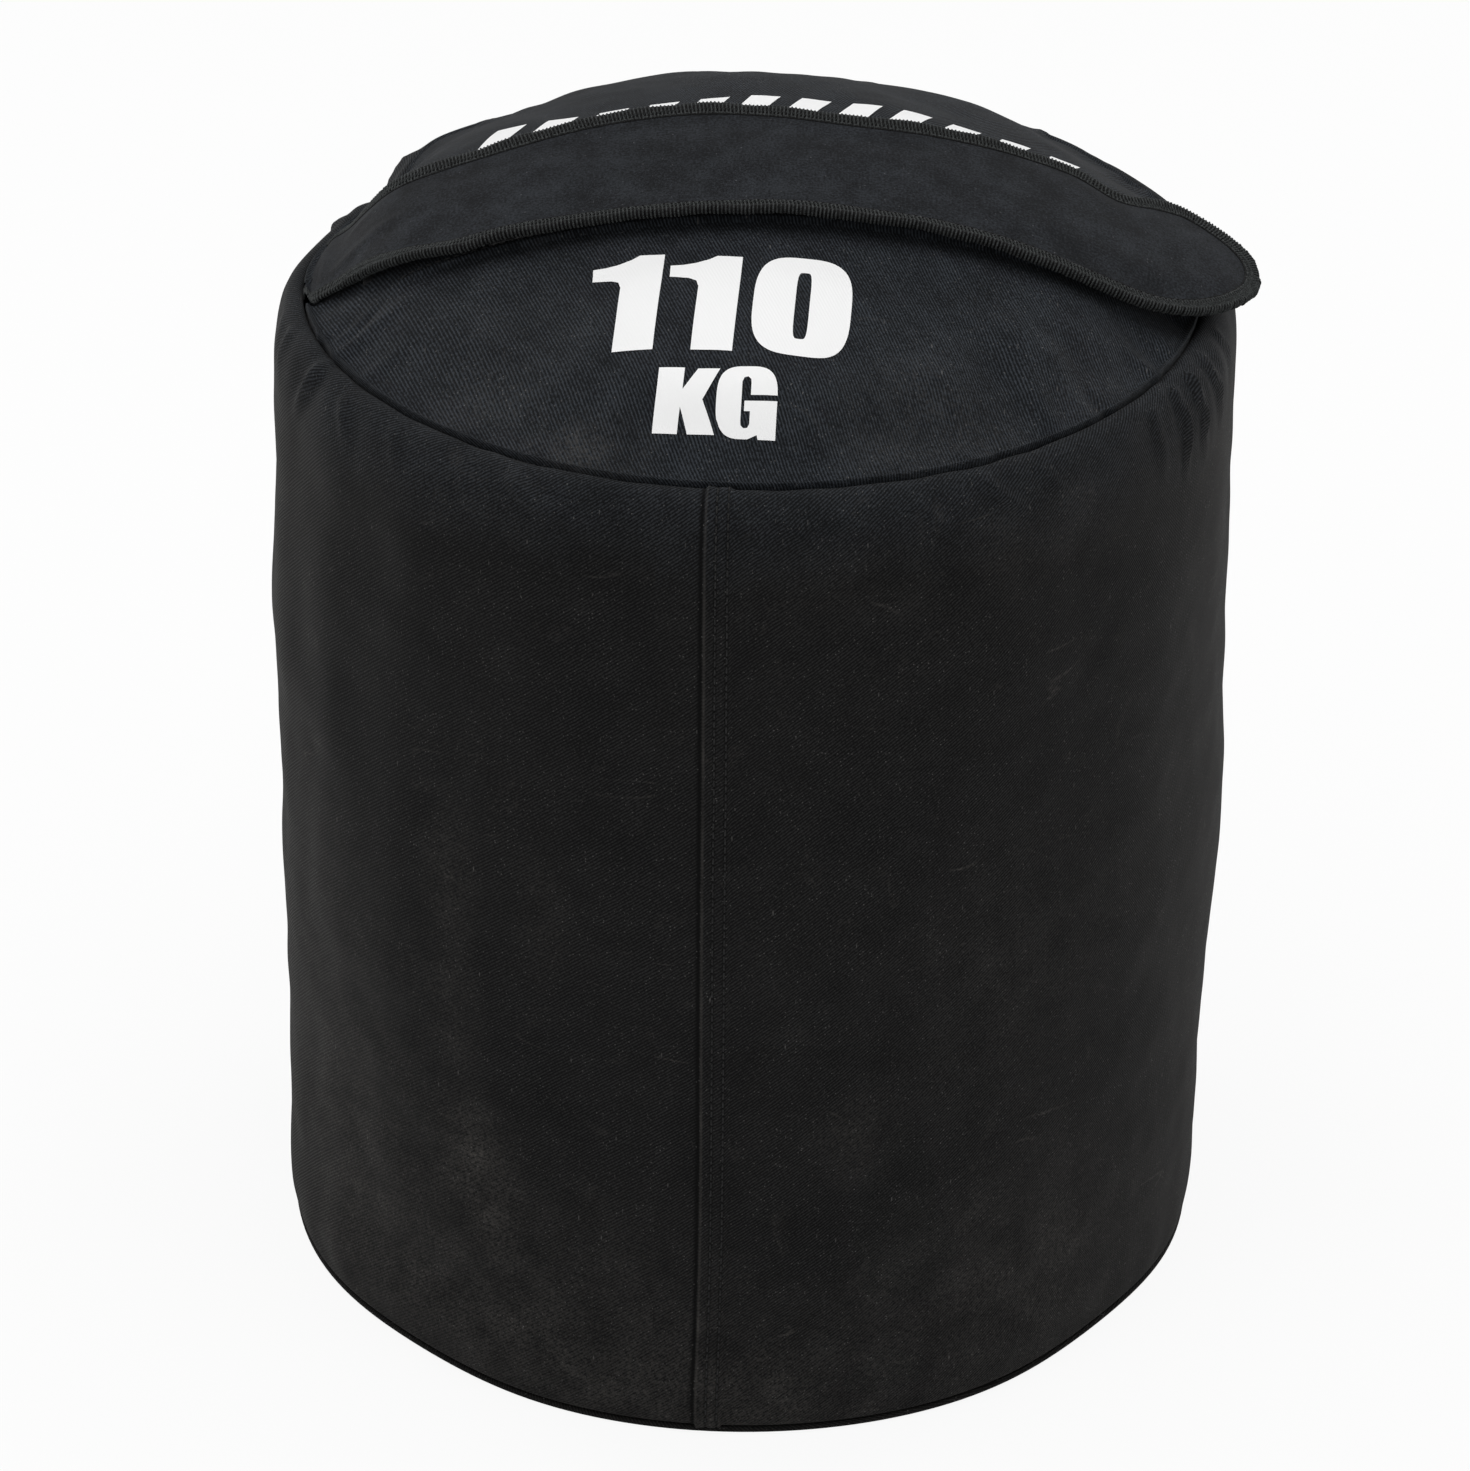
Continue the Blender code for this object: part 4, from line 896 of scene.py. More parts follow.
def wallSpots(angle, s):
    # Points of the dressed wall at an angle round it and a length up its cloth
    angle, s = np.broadcast_arrays(np.asarray(angle, float), s)
    r, z = (np.interp(s, wallLength, wallLine[:, k]) for k in (0, 1))
    slopeR, slopeZ = (np.interp(s, wallLength, wallSlope[:, k]) for k in (0, 1))
    size = np.maximum(np.hypot(slopeR, slopeZ), 1e-9)
    outR, outZ = slopeZ / size, -slopeR / size
    look, body = wallLook, drum["bodyRadius"]
    plain = around(body, angle, z)
    ends = ease((s - 0.030) / 0.04) * ease((wallLength[-1] - 0.018 - s) / 0.02)
    lift = sum(tall * swell(plain, size, seed) for size, tall, seed in look["lumps"]) * ends
    stretched = plain * np.array([1.0, 1.0, 0.22])
    tall, wide = look["drape"]
    lift += tall * swell(stretched, wide, 6) * ends * ease((z - 0.20) / 0.25)
    round3 = plain * np.array([1.0, 1.0, 0.0])
    hold = np.exp(-(np.maximum(drum["rimHeight"] - z, 0) / look["puckerFade"]))
    part = 0.55 + 0.45 * swell(round3, 0.16, 8)
    hold = hold * ease((drum["rimHeight"] - z) / 0.006)
    lift += look["pucker"] * swell(round3, look["puckerSize"], 7) * part * hold
    low = np.exp(-(np.maximum(z - 0.006, 0) / 0.02))
    tall, wide = look["footRipple"]
    lift += tall * swell(round3, wide, 9) * low * ease((z - 0.004) / 0.012)
    lift += creases(halfTurn(angle) * body, z, unrolledFolds) * (s < wallLength[-1] - 0.013)
    across = halfTurn(angle - math.radians(look["seamAngle"])) * body
    inside = (s > 0.011) & (s < wallLength[-1] - 0.010)
    lift += seamShape(across, z) * inside
    out = r + outR * lift
    return settle(around(out, angle, z + outZ * lift))


def makeWall(look):
    body, top = drum["bodyRadius"], wallLength[-1]
    start = math.radians(look["seamAngle"]) - look["strip"] / 2 / body
    dense = start + np.arange(0, look["strip"], look["stripCell"]) / body
    rest = np.linspace(dense[-1], start + 2 * math.pi, look["columns"])[1:-1]
    angles = np.concatenate([dense, rest])
    foot, side, shoulder = look["rows"]
    places = np.concatenate([
        np.linspace(0, look["footRun"], foot),
        np.linspace(look["footRun"], top - look["shoulderRun"], side)[1:],
        np.linspace(top - look["shoulderRun"], top, shoulder)[1:]])
    spots = wallSpots(angles, places[:, None])
    weave = stacked(np.append(angles, angles[0] + 2 * math.pi) * body, places[:, None])
    wall = gridPiece("drumWall", spots, weave, closed=True)
    dressed(wall, finishes["wall"], "bag", "canvas", "side_wall")


def makeSeamStitches(look):
    # Two rows up the seam, out of step with each other
    low, high = look["stitchEnds"]
    parts = []
    for k, row in enumerate(look["stitchRows"]):
        s = np.linspace(low, wallLength[-1] - high, 420)[k:]
        angle = np.full_like(s, math.radians(look["seamAngle"]) + row / drum["bodyRadius"])
        parts.append(stitches(wallSpots(angle, s), squareTo(wallSpots, angle, s), look["stitchPitch"],
                              look["stitchLength"], look["threadRadius"]))
    rows = meshPiece("seamStitching", *merged(*parts))
    dressed(rows, finishes["sewing"], "bag", "canvas")


makeWall(wallLook)
makeSeamStitches(wallLook)
print("wall made")

# Slit and top panels
slit = {
    "forward": 0.028,
    "half": 0.010,
    "hemReach": 0.034,
    "hemRaise": 0.0024,
    "hemEnd": 0.160,
    "hemThinRun": 0.022,
    "hemStep": 0.0018,
    "foldReach": 0.0012,
    "stitchDepths": (0.0135, 0.0320),
    "threadRadius": 0.0004,
}
slitTilt = math.asin(slit["forward"] / crownBall)
topLook = {
    "columns": 190,
    "rows": 66,
    "lumps": ((0.13, 0.0016, 21), (0.055, 0.00045, 22), (0.020, 0.00012, 23)),
    "pucker": 0.0012,
    "puckerSize": 0.020,
    "puckerFade": 0.016,
    "square": 0.0017,  # the cloth turns into the rim more sharply than its plain roll
}
# Folds of the top: plan position of each end, then half width and height
topFolds = (
    ((-0.188, -0.064), (-0.158, -0.044), 0.0040, 0.0046),
    ((-0.178, -0.082), (-0.133, -0.066), 0.0045, 0.0034),
    ((-0.166, -0.104), (-0.140, -0.090), 0.0036, 0.0018),
    ((-0.176, -0.074), (-0.150, -0.056), 0.0030, -0.0026),
    ((0.106, -0.172), (0.094, -0.146), 0.0036, -0.0036),
    ((0.098, -0.175), (0.078, -0.168), 0.0036, 0.0032),
    ((0.150, -0.130), (0.136, -0.119), 0.0036, -0.0038),
    ((0.174, -0.094), (0.154, -0.084), 0.0040, 0.0024),
    ((0.103, -0.128), (0.088, -0.104), 0.0120, -0.0058),
    ((0.138, -0.108), (0.116, -0.094), 0.0090, -0.0038),
    ((0.124, -0.142), (0.108, -0.116), 0.0066, 0.0036),
    ((0.086, -0.150), (0.066, -0.132), 0.0076, 0.0028),
    ((-0.066, -0.188), (-0.056, -0.166), 0.0032, 0.0016),
    ((-0.094, -0.174), (-0.082, -0.152), 0.0034, 0.0028),
    ((0.020, -0.197), (0.018, -0.174), 0.0032, 0.0022),
    ((0.056, -0.190), (0.050, -0.168), 0.0032, 0.0026),
    ((-0.122, -0.157), (-0.108, -0.140), 0.0034, 0.0018),
    ((-0.178, 0.066), (-0.140, 0.060), 0.0055, 0.0036),
    ((-0.170, 0.090), (-0.130, 0.082), 0.0065, 0.0036),
    ((-0.120, 0.150), (-0.095, 0.110), 0.0055, 0.0028),
    ((-0.030, 0.192), (-0.028, 0.150), 0.0055, 0.0026),
    ((0.060, 0.186), (0.050, 0.140), 0.0055, 0.0028),
    ((0.130, 0.146), (0.110, 0.120), 0.0050, 0.0028),
    ((0.176, 0.085), (0.150, 0.078), 0.0048, 0.0028),
)


def slitMiddle(x):
    return math.sin(slitTilt) * np.sqrt(np.maximum(crownBall**2 - np.square(x), 0))


def fromSlit(x, y, side):
    return side * (-y - slitMiddle(x))


def hemShare(x):
    return ease((slit["hemEnd"] - np.abs(x)) / slit["hemThinRun"])


def crownLift(x, y, side):
    # How far the dressed top stands off its plain dome
    x, y = np.broadcast_arrays(np.asarray(x, float), y)
    depth = fromSlit(x, y, side)
    raised = slit["hemRaise"] * hemShare(x) * (1 - ease((depth - slit["hemReach"]) / slit["hemStep"]))
    for row in slit["stitchDepths"]:
        raised = raised - 0.0004 * np.exp(-(((depth - row) / 0.0008) ** 2)) * hemShare(x)
    reach = np.hypot(x, y)
    plan = stacked(x, y, 0.0)
    free = ease((depth - 0.036) / 0.03) * ease((panelEdge - reach) / 0.02)
    lift = sum(tall * swell(plan, size, seed) for size, tall, seed in topLook["lumps"]) * free
    tilt = np.arcsin(np.clip((reach - rollCentre) / drum["edgeRoll"], -1, 1))
    lift = lift + topLook["square"] * np.exp(-(((tilt - 1.05) / 0.36) ** 2))
    rimward = plan / np.maximum(reach, 1e-9)[..., None] * 0.2
    hold = np.exp(-np.maximum(panelEdge - reach, 0) / topLook["puckerFade"])
    hold = hold * ease((panelEdge - reach) / 0.006)
    part = 0.55 + 0.45 * swell(rimward, 0.16, 25)
    lift = lift + topLook["pucker"] * swell(rimward, topLook["puckerSize"], 24) * part * hold
    clear = ease((depth - 0.030) / 0.012) * ease((panelEdge + 0.004 - reach) / 0.008)
    return raised + lift + creases(x, y, topFolds) * clear


def topSurface(side):
    return lambda x, y: settle(crownSpots(x, y, crownLift(x, y, side)))


def makeTop(name, side, node, look):
    # One half of the top: turned under at the slit, over the hem, across the dome and rolled into the rim
    cloth, edge, roll = drum["cloth"], slit["half"], drum["edgeRoll"]
    surface = topSurface(side)
    first = math.asin((edge + side * float(slitMiddle(capReach))) / capReach)
    angle = np.linspace(first, math.pi - first, look["columns"])
    farX, farY = capReach * np.cos(angle), capReach * np.sin(angle)
    nearX = farX * (capReach - roll) / capReach
    far = np.maximum(farY - side * slitMiddle(farX), edge + 0.0004)
    rows, weave = [], []

    def planAt(depth, share):
        x = nearX + (farX - nearX) * share
        return x, -side * (depth + side * slitMiddle(x))

    def addRow(spots, x, y):
        rows.append(spots)
        weave.append(stacked(x, y))

    # The cloth turned under, and the fold at the slit
    hem = np.minimum(slit["hemReach"] - 0.003, (edge + far) / 2)
    for share in (1.0, 0.66, 0.33, 0.08):
        depth = edge + (hem - edge) * share
        x, y = planAt(depth, 0.0)
        addRow(settle(crownSpots(x, y, -cloth)), x, y + side * 2 * (depth - edge))
    x, y = planAt(np.full_like(far, edge), 0.0)
    top = crownLift(x, y, side)
    middle, radius, fold = (top - cloth) / 2, (top + cloth) / 2, slit["foldReach"]
    for turn in np.radians(np.linspace(-75, 75, 7)):
        foldX, foldY = planAt(edge + fold - np.cos(turn) * fold, 0.0)
        addRow(settle(crownSpots(foldX, foldY, middle + radius * np.sin(turn))), foldX, foldY)

    # Over the hem and across the dome
    near = np.minimum(slit["hemReach"] + slit["hemStep"] + 0.001, (edge + far) / 2 + 0.002)
    near = np.minimum(near, far)
    depths = [(edge + 0.0016 + (near - edge - 0.0016) * s) for s in np.linspace(0, 1, 22)]
    depths += [near + (far - near) * s for s in np.linspace(0, 1, look["rows"] - 21)[1:]]
    for depth in depths:
        x, y = planAt(depth, (depth - edge) / (far - edge))
        addRow(surface(x, y), x, y)

    # Rolled into the rim, and down inside it
    for share in np.linspace(0, 1, 15)[1:]:
        tilt = rollStart + (math.pi / 2 - rollStart) * share
        out = rollCentre + roll * math.sin(tilt)
        x, y = out * np.cos(angle), -side * out * np.sin(angle)
        run = capReach + roll * (tilt - rollStart)
        addRow(surface(x, y), run * np.cos(angle), -side * run * np.sin(angle))
    for drop in (0.004, 0.008, drum["allowance"]):
        spots = crownSpots(x, y, 0.0) - np.array([0, 0, drop])
        addRow(settle(spots), (run + drop) * np.cos(angle), -side * (run + drop) * np.sin(angle))
    piece = gridPiece(name, np.array(rows), np.array(weave), flip=side > 0)
    dressed(piece, finishes[name], "bag", "canvas", node)


def makeHemStitches(look):
    parts = []
    end = look["hemEnd"] - 0.006
    for side in (1, -1):
        surface = topSurface(side)
        for depth in look["stitchDepths"]:
            x = np.linspace(-end, end, 500)
            y = -side * (depth + side * slitMiddle(x))
            parts.append(stitches(surface(x, y), squareTo(surface, x, y), wallLook["stitchPitch"],
                                  wallLook["stitchLength"], look["threadRadius"]))
    rows = meshPiece("hemStitching", *merged(*parts))
    dressed(rows, finishes["sewing"], "bag", "canvas")


makeTop("topFront", 1, "top_panel_front", topLook)
makeTop("topRear", -1, "top_panel_rear", topLook)
makeHemStitches(slit)
print("top made")

# Base
baseLook = {"lip": 0.0074, "lipRadius": 0.0015, "sag": 0.0010, "rings": 30, "columns": 200}


def makeBase(look):
    # Flat round base whose edge rolls out under the wall's fold and then up into the seam
    edge = drum["baseRadius"] - drum["seamGap"] / 2
    flat = stacked(np.linspace(0.002, edge - 0.004, look["rings"]), 0.0)
    lip = arc(edge + look["lip"] - 0.0016, look["lipRadius"], look["lipRadius"], -90, 90, 8)
    up = np.array([(edge + 0.001, 0.0035), (edge, 0.0055), (edge, drum["allowance"])])
    line = np.concatenate([flat, [(edge + 0.001, 0.0)], lip, up])
    r, z = line[:, :1], line[:, 1:]
    spots = around(r, turns(look["columns"]), z)
    sag = 0.5 + 0.5 * swell(spots * np.array([1, 1, 0]), 0.09, 31)
    inside = (z < 0.0001) & (r < edge - 0.006)
    spots[..., 2] += np.where(inside, look["sag"] * np.clip(sag, 0, 1), 0)
    weave = around(lengths(line)[:, None] + 0.002, turns(look["columns"], closed=True), 0.0)[..., :2]
    base = gridPiece("drumBase", settle(spots), weave, closed=True, flip=True)
    mended(base, caps=[range(look["columns"])])
    dressed(base, finishes["base"], "bag", "canvas", "base_panel")


makeBase(baseLook)

# Tape folded over the turned edges inside both seams
tapeLook = {"thick": 0.0012, "leg": 0.007, "corner": 0.0010, "columns": 180}


def makeTape(name, sewnRadius, edgeHeight, inward, node, look):
    hold = drum["seamGap"] / 2 + drum["cloth"] + drum["seamGap"]
    out, clear, corner = hold + look["thick"], drum["clear"], look["corner"]
    turned = arc(out - corner, clear + look["thick"] - corner, corner, 0, 90, 3)
    section = np.concatenate([
        [(out, -look["leg"])], turned, turned[::-1] * np.array([-1, 1]),
        [(-out, -look["leg"]), (-hold, -look["leg"]), (-hold, clear), (hold, clear), (hold, -look["leg"])]])
    r, z = sewnRadius + section[:, :1], edgeHeight + inward * section[:, 1:]
    spots = settle(around(r, turns(look["columns"]), z))
    spots = np.concatenate([spots, spots[:1]])
    length = np.linspace(0, 0.03, len(spots))[:, None]
    weave = stacked(turns(look["columns"], closed=True) * sewnRadius, length)
    tape = gridPiece(name, spots, weave, closed=True, flip=inward > 0)
    mended(tape, sharp=50, weld=True)
    dressed(tape, finishes["binding"], "bag", "binding_tape", node)


makeTape("rimTape", drum["rimRadius"], drum["rimHeight"] - drum["allowance"], -1, "rim_binding", tapeLook)
makeTape("baseTape", drum["baseRadius"], drum["allowance"], 1, "base_binding", tapeLook)
print("base and seam tapes made")

# Flap
flap = {
    "width": 0.080,
    "hingeReach": 0.190,
    "tipReach": 0.222,
    "straightReach": 0.165,
    "round": 0.052,
    "cover": 0.0014,
    "lining": 0.0012,
    "riseRun": 0.054,
    "curl": 0.0015,
    "curlWidth": 0.005,
    "rootSink": 0.0014,
    "rootRun": 0.016,
    "rootSlant": 0.014,  # its front corner lies that much further back at the seam than at the hinge
    "sway": 0.022,
    "swayRun": 0.082,
    "corner": 0.018,
    "cornerRun": 0.045,
    "rootThick": 0.0014,
    "jointGap": 0.0006,
    "hook": 0.0014,
    "loop": 0.0014,
    "serging": 0.006,
    "loopPitch": 0.00165,
    "loopThread": 0.00042,
    "needlePitch": 0.0031,
    "needleLength": 0.0024,
    "needleThread": 0.00036,
    "rowStep": 0.0021,
    "columns": 44,
    "liningStart": 0.020,
    "liningColumns": 26,
}
loopSeat = slit["hemRaise"] + drum["curveClear"]
flapSeat = loopSeat + flap["loop"] + drum["curveClear"] + flap["hook"] + drum["curveClear"]
flapPlies = flap["lining"] + drum["clear"] + flap["cover"]
hingeLift = drum["curveClear"] + flap["rootThick"] + flap["jointGap"] - flap["lining"] - drum["clear"]
flapStart = -math.asin(flap["hingeReach"] / crownBall)
flapBend = crownBall * (math.asin(flap["straightReach"] / crownBall) - flapStart)
straightAngle = math.asin(flap["straightReach"] / crownBall)
bendReach = (crownBall + flapSeat + flapPlies / 2) * math.sin(straightAngle)
flapLength = flapBend + (flap["tipReach"] - bendReach) / math.cos(straightAngle)


def flapAxis(u):
    away = 1 - ease(u / flap["swayRun"])
    return flap["sway"] * (away + ease((u - flapLength + flap["swayRun"]) / flap["swayRun"]) / 2)


# How far its front and rear edges stray at places along the flap, and how far they droop
frontStray = (
    (0.0, -0.0110), (0.010, -0.0097), (0.022, -0.0060), (0.046, -0.0020), (0.070, -0.002), (0.113, -0.0022),
    (0.155, -0.0026), (0.210, -0.003), (0.252, -0.0034), (0.287, -0.0036), (0.322, -0.0042), (0.350, -0.0052),
    (0.390, -0.0050), (0.418, -0.0035), (0.435, 0.0))
rearStray = (
    (0.0, -0.004), (0.018, -0.0085), (0.036, -0.0115), (0.052, -0.0080), (0.070, -0.0032), (0.088, -0.0022),
    (0.115, 0.0015), (0.145, 0.0042), (0.171, 0.0050), (0.201, 0.0034), (0.240, -0.0012), (0.284, 0.0014),
    (0.316, 0.0032), (0.340, 0.0030), (0.362, -0.0032), (0.380, 0.0010), (0.396, 0.0045), (0.417, 0.0015),
    (0.435, 0.0))
frontDroop = ((0.0, 0.0), (0.27, 0.0), (0.305, 0.0010), (0.340, 0.0032), (0.390, 0.0036), (0.435, 0.0010))
rearDroop = (
    (0.0, 0.0), (0.315, 0.0), (0.345, 0.0012), (0.362, 0.0030), (0.382, 0.0010), (0.400, 0.0), (0.44, 0.0))


def flapEdges(u):
    intoTip = np.maximum((u - flapLength + flap["round"]) / flap["round"], 0)
    share = np.sqrt(np.maximum(1 - intoTip**2, 0))
    half = flap["width"] / 2 * share
    cut = flap["corner"] * (1 - ease(u / flap["cornerRun"]))
    front = flapAxis(u) - half + cut + between(frontStray, u) * share
    return front, flapAxis(u) + half + between(rearStray, u) * share


def slitFrame(spots):
    # From the slit's tilted frame to the part's
    c, s = math.cos(slitTilt), math.sin(slitTilt)
    x, y, z = np.moveaxis(spots, -1, 0)
    return stacked(x, y * c - z * s, y * s + z * c + ballHeight)


# Folds at its sewn end: place along and across of each end, then half width and height
flapFolds = (
    ((0.010, 0.004), (0.062, 0.002), 0.0050, 0.0016),
    ((0.016, 0.030), (0.050, 0.028), 0.0050, 0.0010),
)


def flapWave(u, y):
    # Slow rise and fall of the flap's cloth, and the folds at its sewn end
    plan = stacked(u, y, 0 * u)
    wave = np.maximum(0.0004 + 0.0005 * swell(plan, 0.11, 41) + 0.00012 * swell(plan, 0.035, 42), -0.0003)
    return (wave + creases(u, y, flapFolds)) * ease(u / 0.02)


def flapSpots(u, y, height):
    # Points of the flap: u along it, y across, height above its underside. Below 0, it stays at the hinge
    # line
    u, y, height = np.broadcast_arrays(np.asarray(u, float), y, height)
    ahead = np.maximum(u, 0.0)
    bend = np.clip(ahead, 0.0, flapBend)
    angle = flapStart + bend / crownBall
    climb = ease(ahead / flap["riseRun"])
    front, rear = flapEdges(ahead)
    lift = hingeLift + (flapSeat - hingeLift) * climb
    inside = np.minimum(y - front, rear - y)
    edge = ease((flap["curlWidth"] - inside) / flap["curlWidth"])
    ripple = 0.0005 * swell(stacked(u, 0 * u, 0 * u), 0.024, 43)
    lift = lift - between(frontDroop, ahead) * ease((0.026 - y + front) / 0.026)
    lift = lift - between(rearDroop, ahead) * ease((0.020 - rear + y) / 0.020)
    ball = crownBall + lift + height + (flap["curl"] + ripple) * edge * climb + flapWave(ahead, y)
    reach = np.sqrt(np.maximum(ball**2 - y**2, 0))
    tail = ahead - bend
    spots = slitFrame(stacked(
        reach * np.sin(angle) + tail * np.cos(angle), y, reach * np.cos(angle) - tail * np.sin(angle)))
    sunk = edgeDrop(spots[..., 0], spots[..., 1]) + flap["rootSink"] * (1 - ease(ahead / 0.020))
    spots[..., 2] -= sunk * (1 - ease((ahead - 0.01) / 0.06))
    return settle(spots)


def rootSpots(share, y, height):
    # The sewn end, from the hinge line (share 0) over the rolled edge and down into the rim (share 1)
    front, rear = (float(edge) for edge in flapEdges(np.array(0.0)))
    y = y + flap["rootSlant"] * (rear - y) / (rear - front) * ease(share)
    worldY = y - float(slitMiddle(flap["hingeReach"]))
    rim = np.sqrt(np.maximum((panelEdge - 0.0002) ** 2 - worldY**2, 0))
    x = -flap["hingeReach"] - (rim - flap["hingeReach"]) * np.clip(share / 0.8, 0, 1)
    base = hingeLift + height - flap["rootSink"]
    pinch = ease(share / 0.8)
    lift = base * (1 - pinch) + (0.0003 + height * 0.12) * pinch
    spots = crownSpots(x, worldY, lift)
    spots[..., 2] -= np.maximum(share - 0.8, 0) / 0.2 * 0.009
    return settle(spots)


def flapRows(start, step):
    straight = flapLength - flap["round"]
    even = np.arange(start, straight, step)
    tip = straight + flap["round"] * np.sin(np.radians(np.linspace(0, 89, 26)))
    return np.concatenate([even, tip])


def flapColumns(count):
    t = np.linspace(0, 1, count)
    return t - 0.06 * np.sin(2 * math.pi * t)


def flapGrid(u, shares, height):
    front, rear = flapEdges(u)
    y = front[:, None] + (rear - front)[:, None] * shares
    return flapSpots(u[:, None], y, height), stacked(u[:, None], y)


def makeFlap(look):
    shares = flapColumns(look["columns"])
    u = flapRows(0.0, look["rowStep"])
    low, high = look["lining"] + drum["clear"], flapPlies
    over, weave = flapGrid(u, shares, high)
    under, _ = flapGrid(u, shares, low)
    front, rear = (float(edge) for edge in flapEdges(np.array(0.0)))
    y = front + (rear - front) * shares
    root = np.linspace(1, 0, 15)[:-1]
    rootOver = rootSpots(root[:, None], y[None, :], high)
    rootUnder = rootSpots(root[:, None], y[None, :], low)
    rootWeave = stacked(-look["rootRun"] * root[:, None], y[None, :])
    cover = slabPiece("flapCover", np.concatenate([rootOver, over]), np.concatenate([rootUnder, under]),
                      np.concatenate([rootWeave, weave]), flip=True)
    dressed(cover, finishes["flap"], None, "flap_cloth", "flap_cover", "flap_root")
    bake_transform(cover)
    wide, long = look["width"], flapLength + 0.016
    wide * long * 0.97

    shares = flapColumns(look["liningColumns"])
    u = flapRows(look["liningStart"], look["rowStep"] * 2)
    over, weave = flapGrid(u, shares, look["lining"])
    under, _ = flapGrid(u, shares, 0.0)
    lining = slabPiece("flapLining", over, under, weave, flip=True)
    dressed(lining, finishes["flap"], "flap", "flap_cloth", "flap_lining")
    flapLength - 0.020
    wide * (flapLength - 0.020) * 0.96


def flapOutline(step):
    # Edge of the flap from its sewn end round the tip and back: u, y at even steps, with the way along it
    u = np.concatenate([np.linspace(-0.84 * flap["rootRun"], 0.0, 30)[:-1],
                        np.linspace(0.0, flapLength - flap["round"], 400),
                        flapLength - flap["round"] * (1 - np.sin(np.radians(np.linspace(0, 90, 140))))[1:]])
    front, rear = flapEdges(u)
    line = np.concatenate([stacked(u, front), stacked(u, rear)[::-1][1:]])
    outline, _ = along(line, np.arange(0, lengths(line)[-1], step))
    way = np.gradient(outline, axis=0)
    for _ in range(3):
        way[1:-1] = (way[:-2] + 2 * way[1:-1] + way[2:]) / 4
    way /= np.linalg.norm(way, axis=1)[:, None]
    return outline, way


def aroundEdge(outline, way, inward, forward, height):
    # Points beside the flap's edge: so far in from it, along it and above the flap's underside
    u = outline[:, 0, None] - way[:, 1, None] * inward + way[:, 0, None] * forward
    y = outline[:, 1, None] + way[:, 0, None] * inward + way[:, 1, None] * forward
    low = (flap["lining"] + drum["clear"]) * (1 - ease((u - 0.008) / 0.014))
    level = low + (flapPlies - low) * height / flapPlies
    sewn = rootSpots(np.clip(-u / flap["rootRun"], 0, 1), y, level)
    return np.where((u < 0)[..., None], sewn, flapSpots(u, y, level))


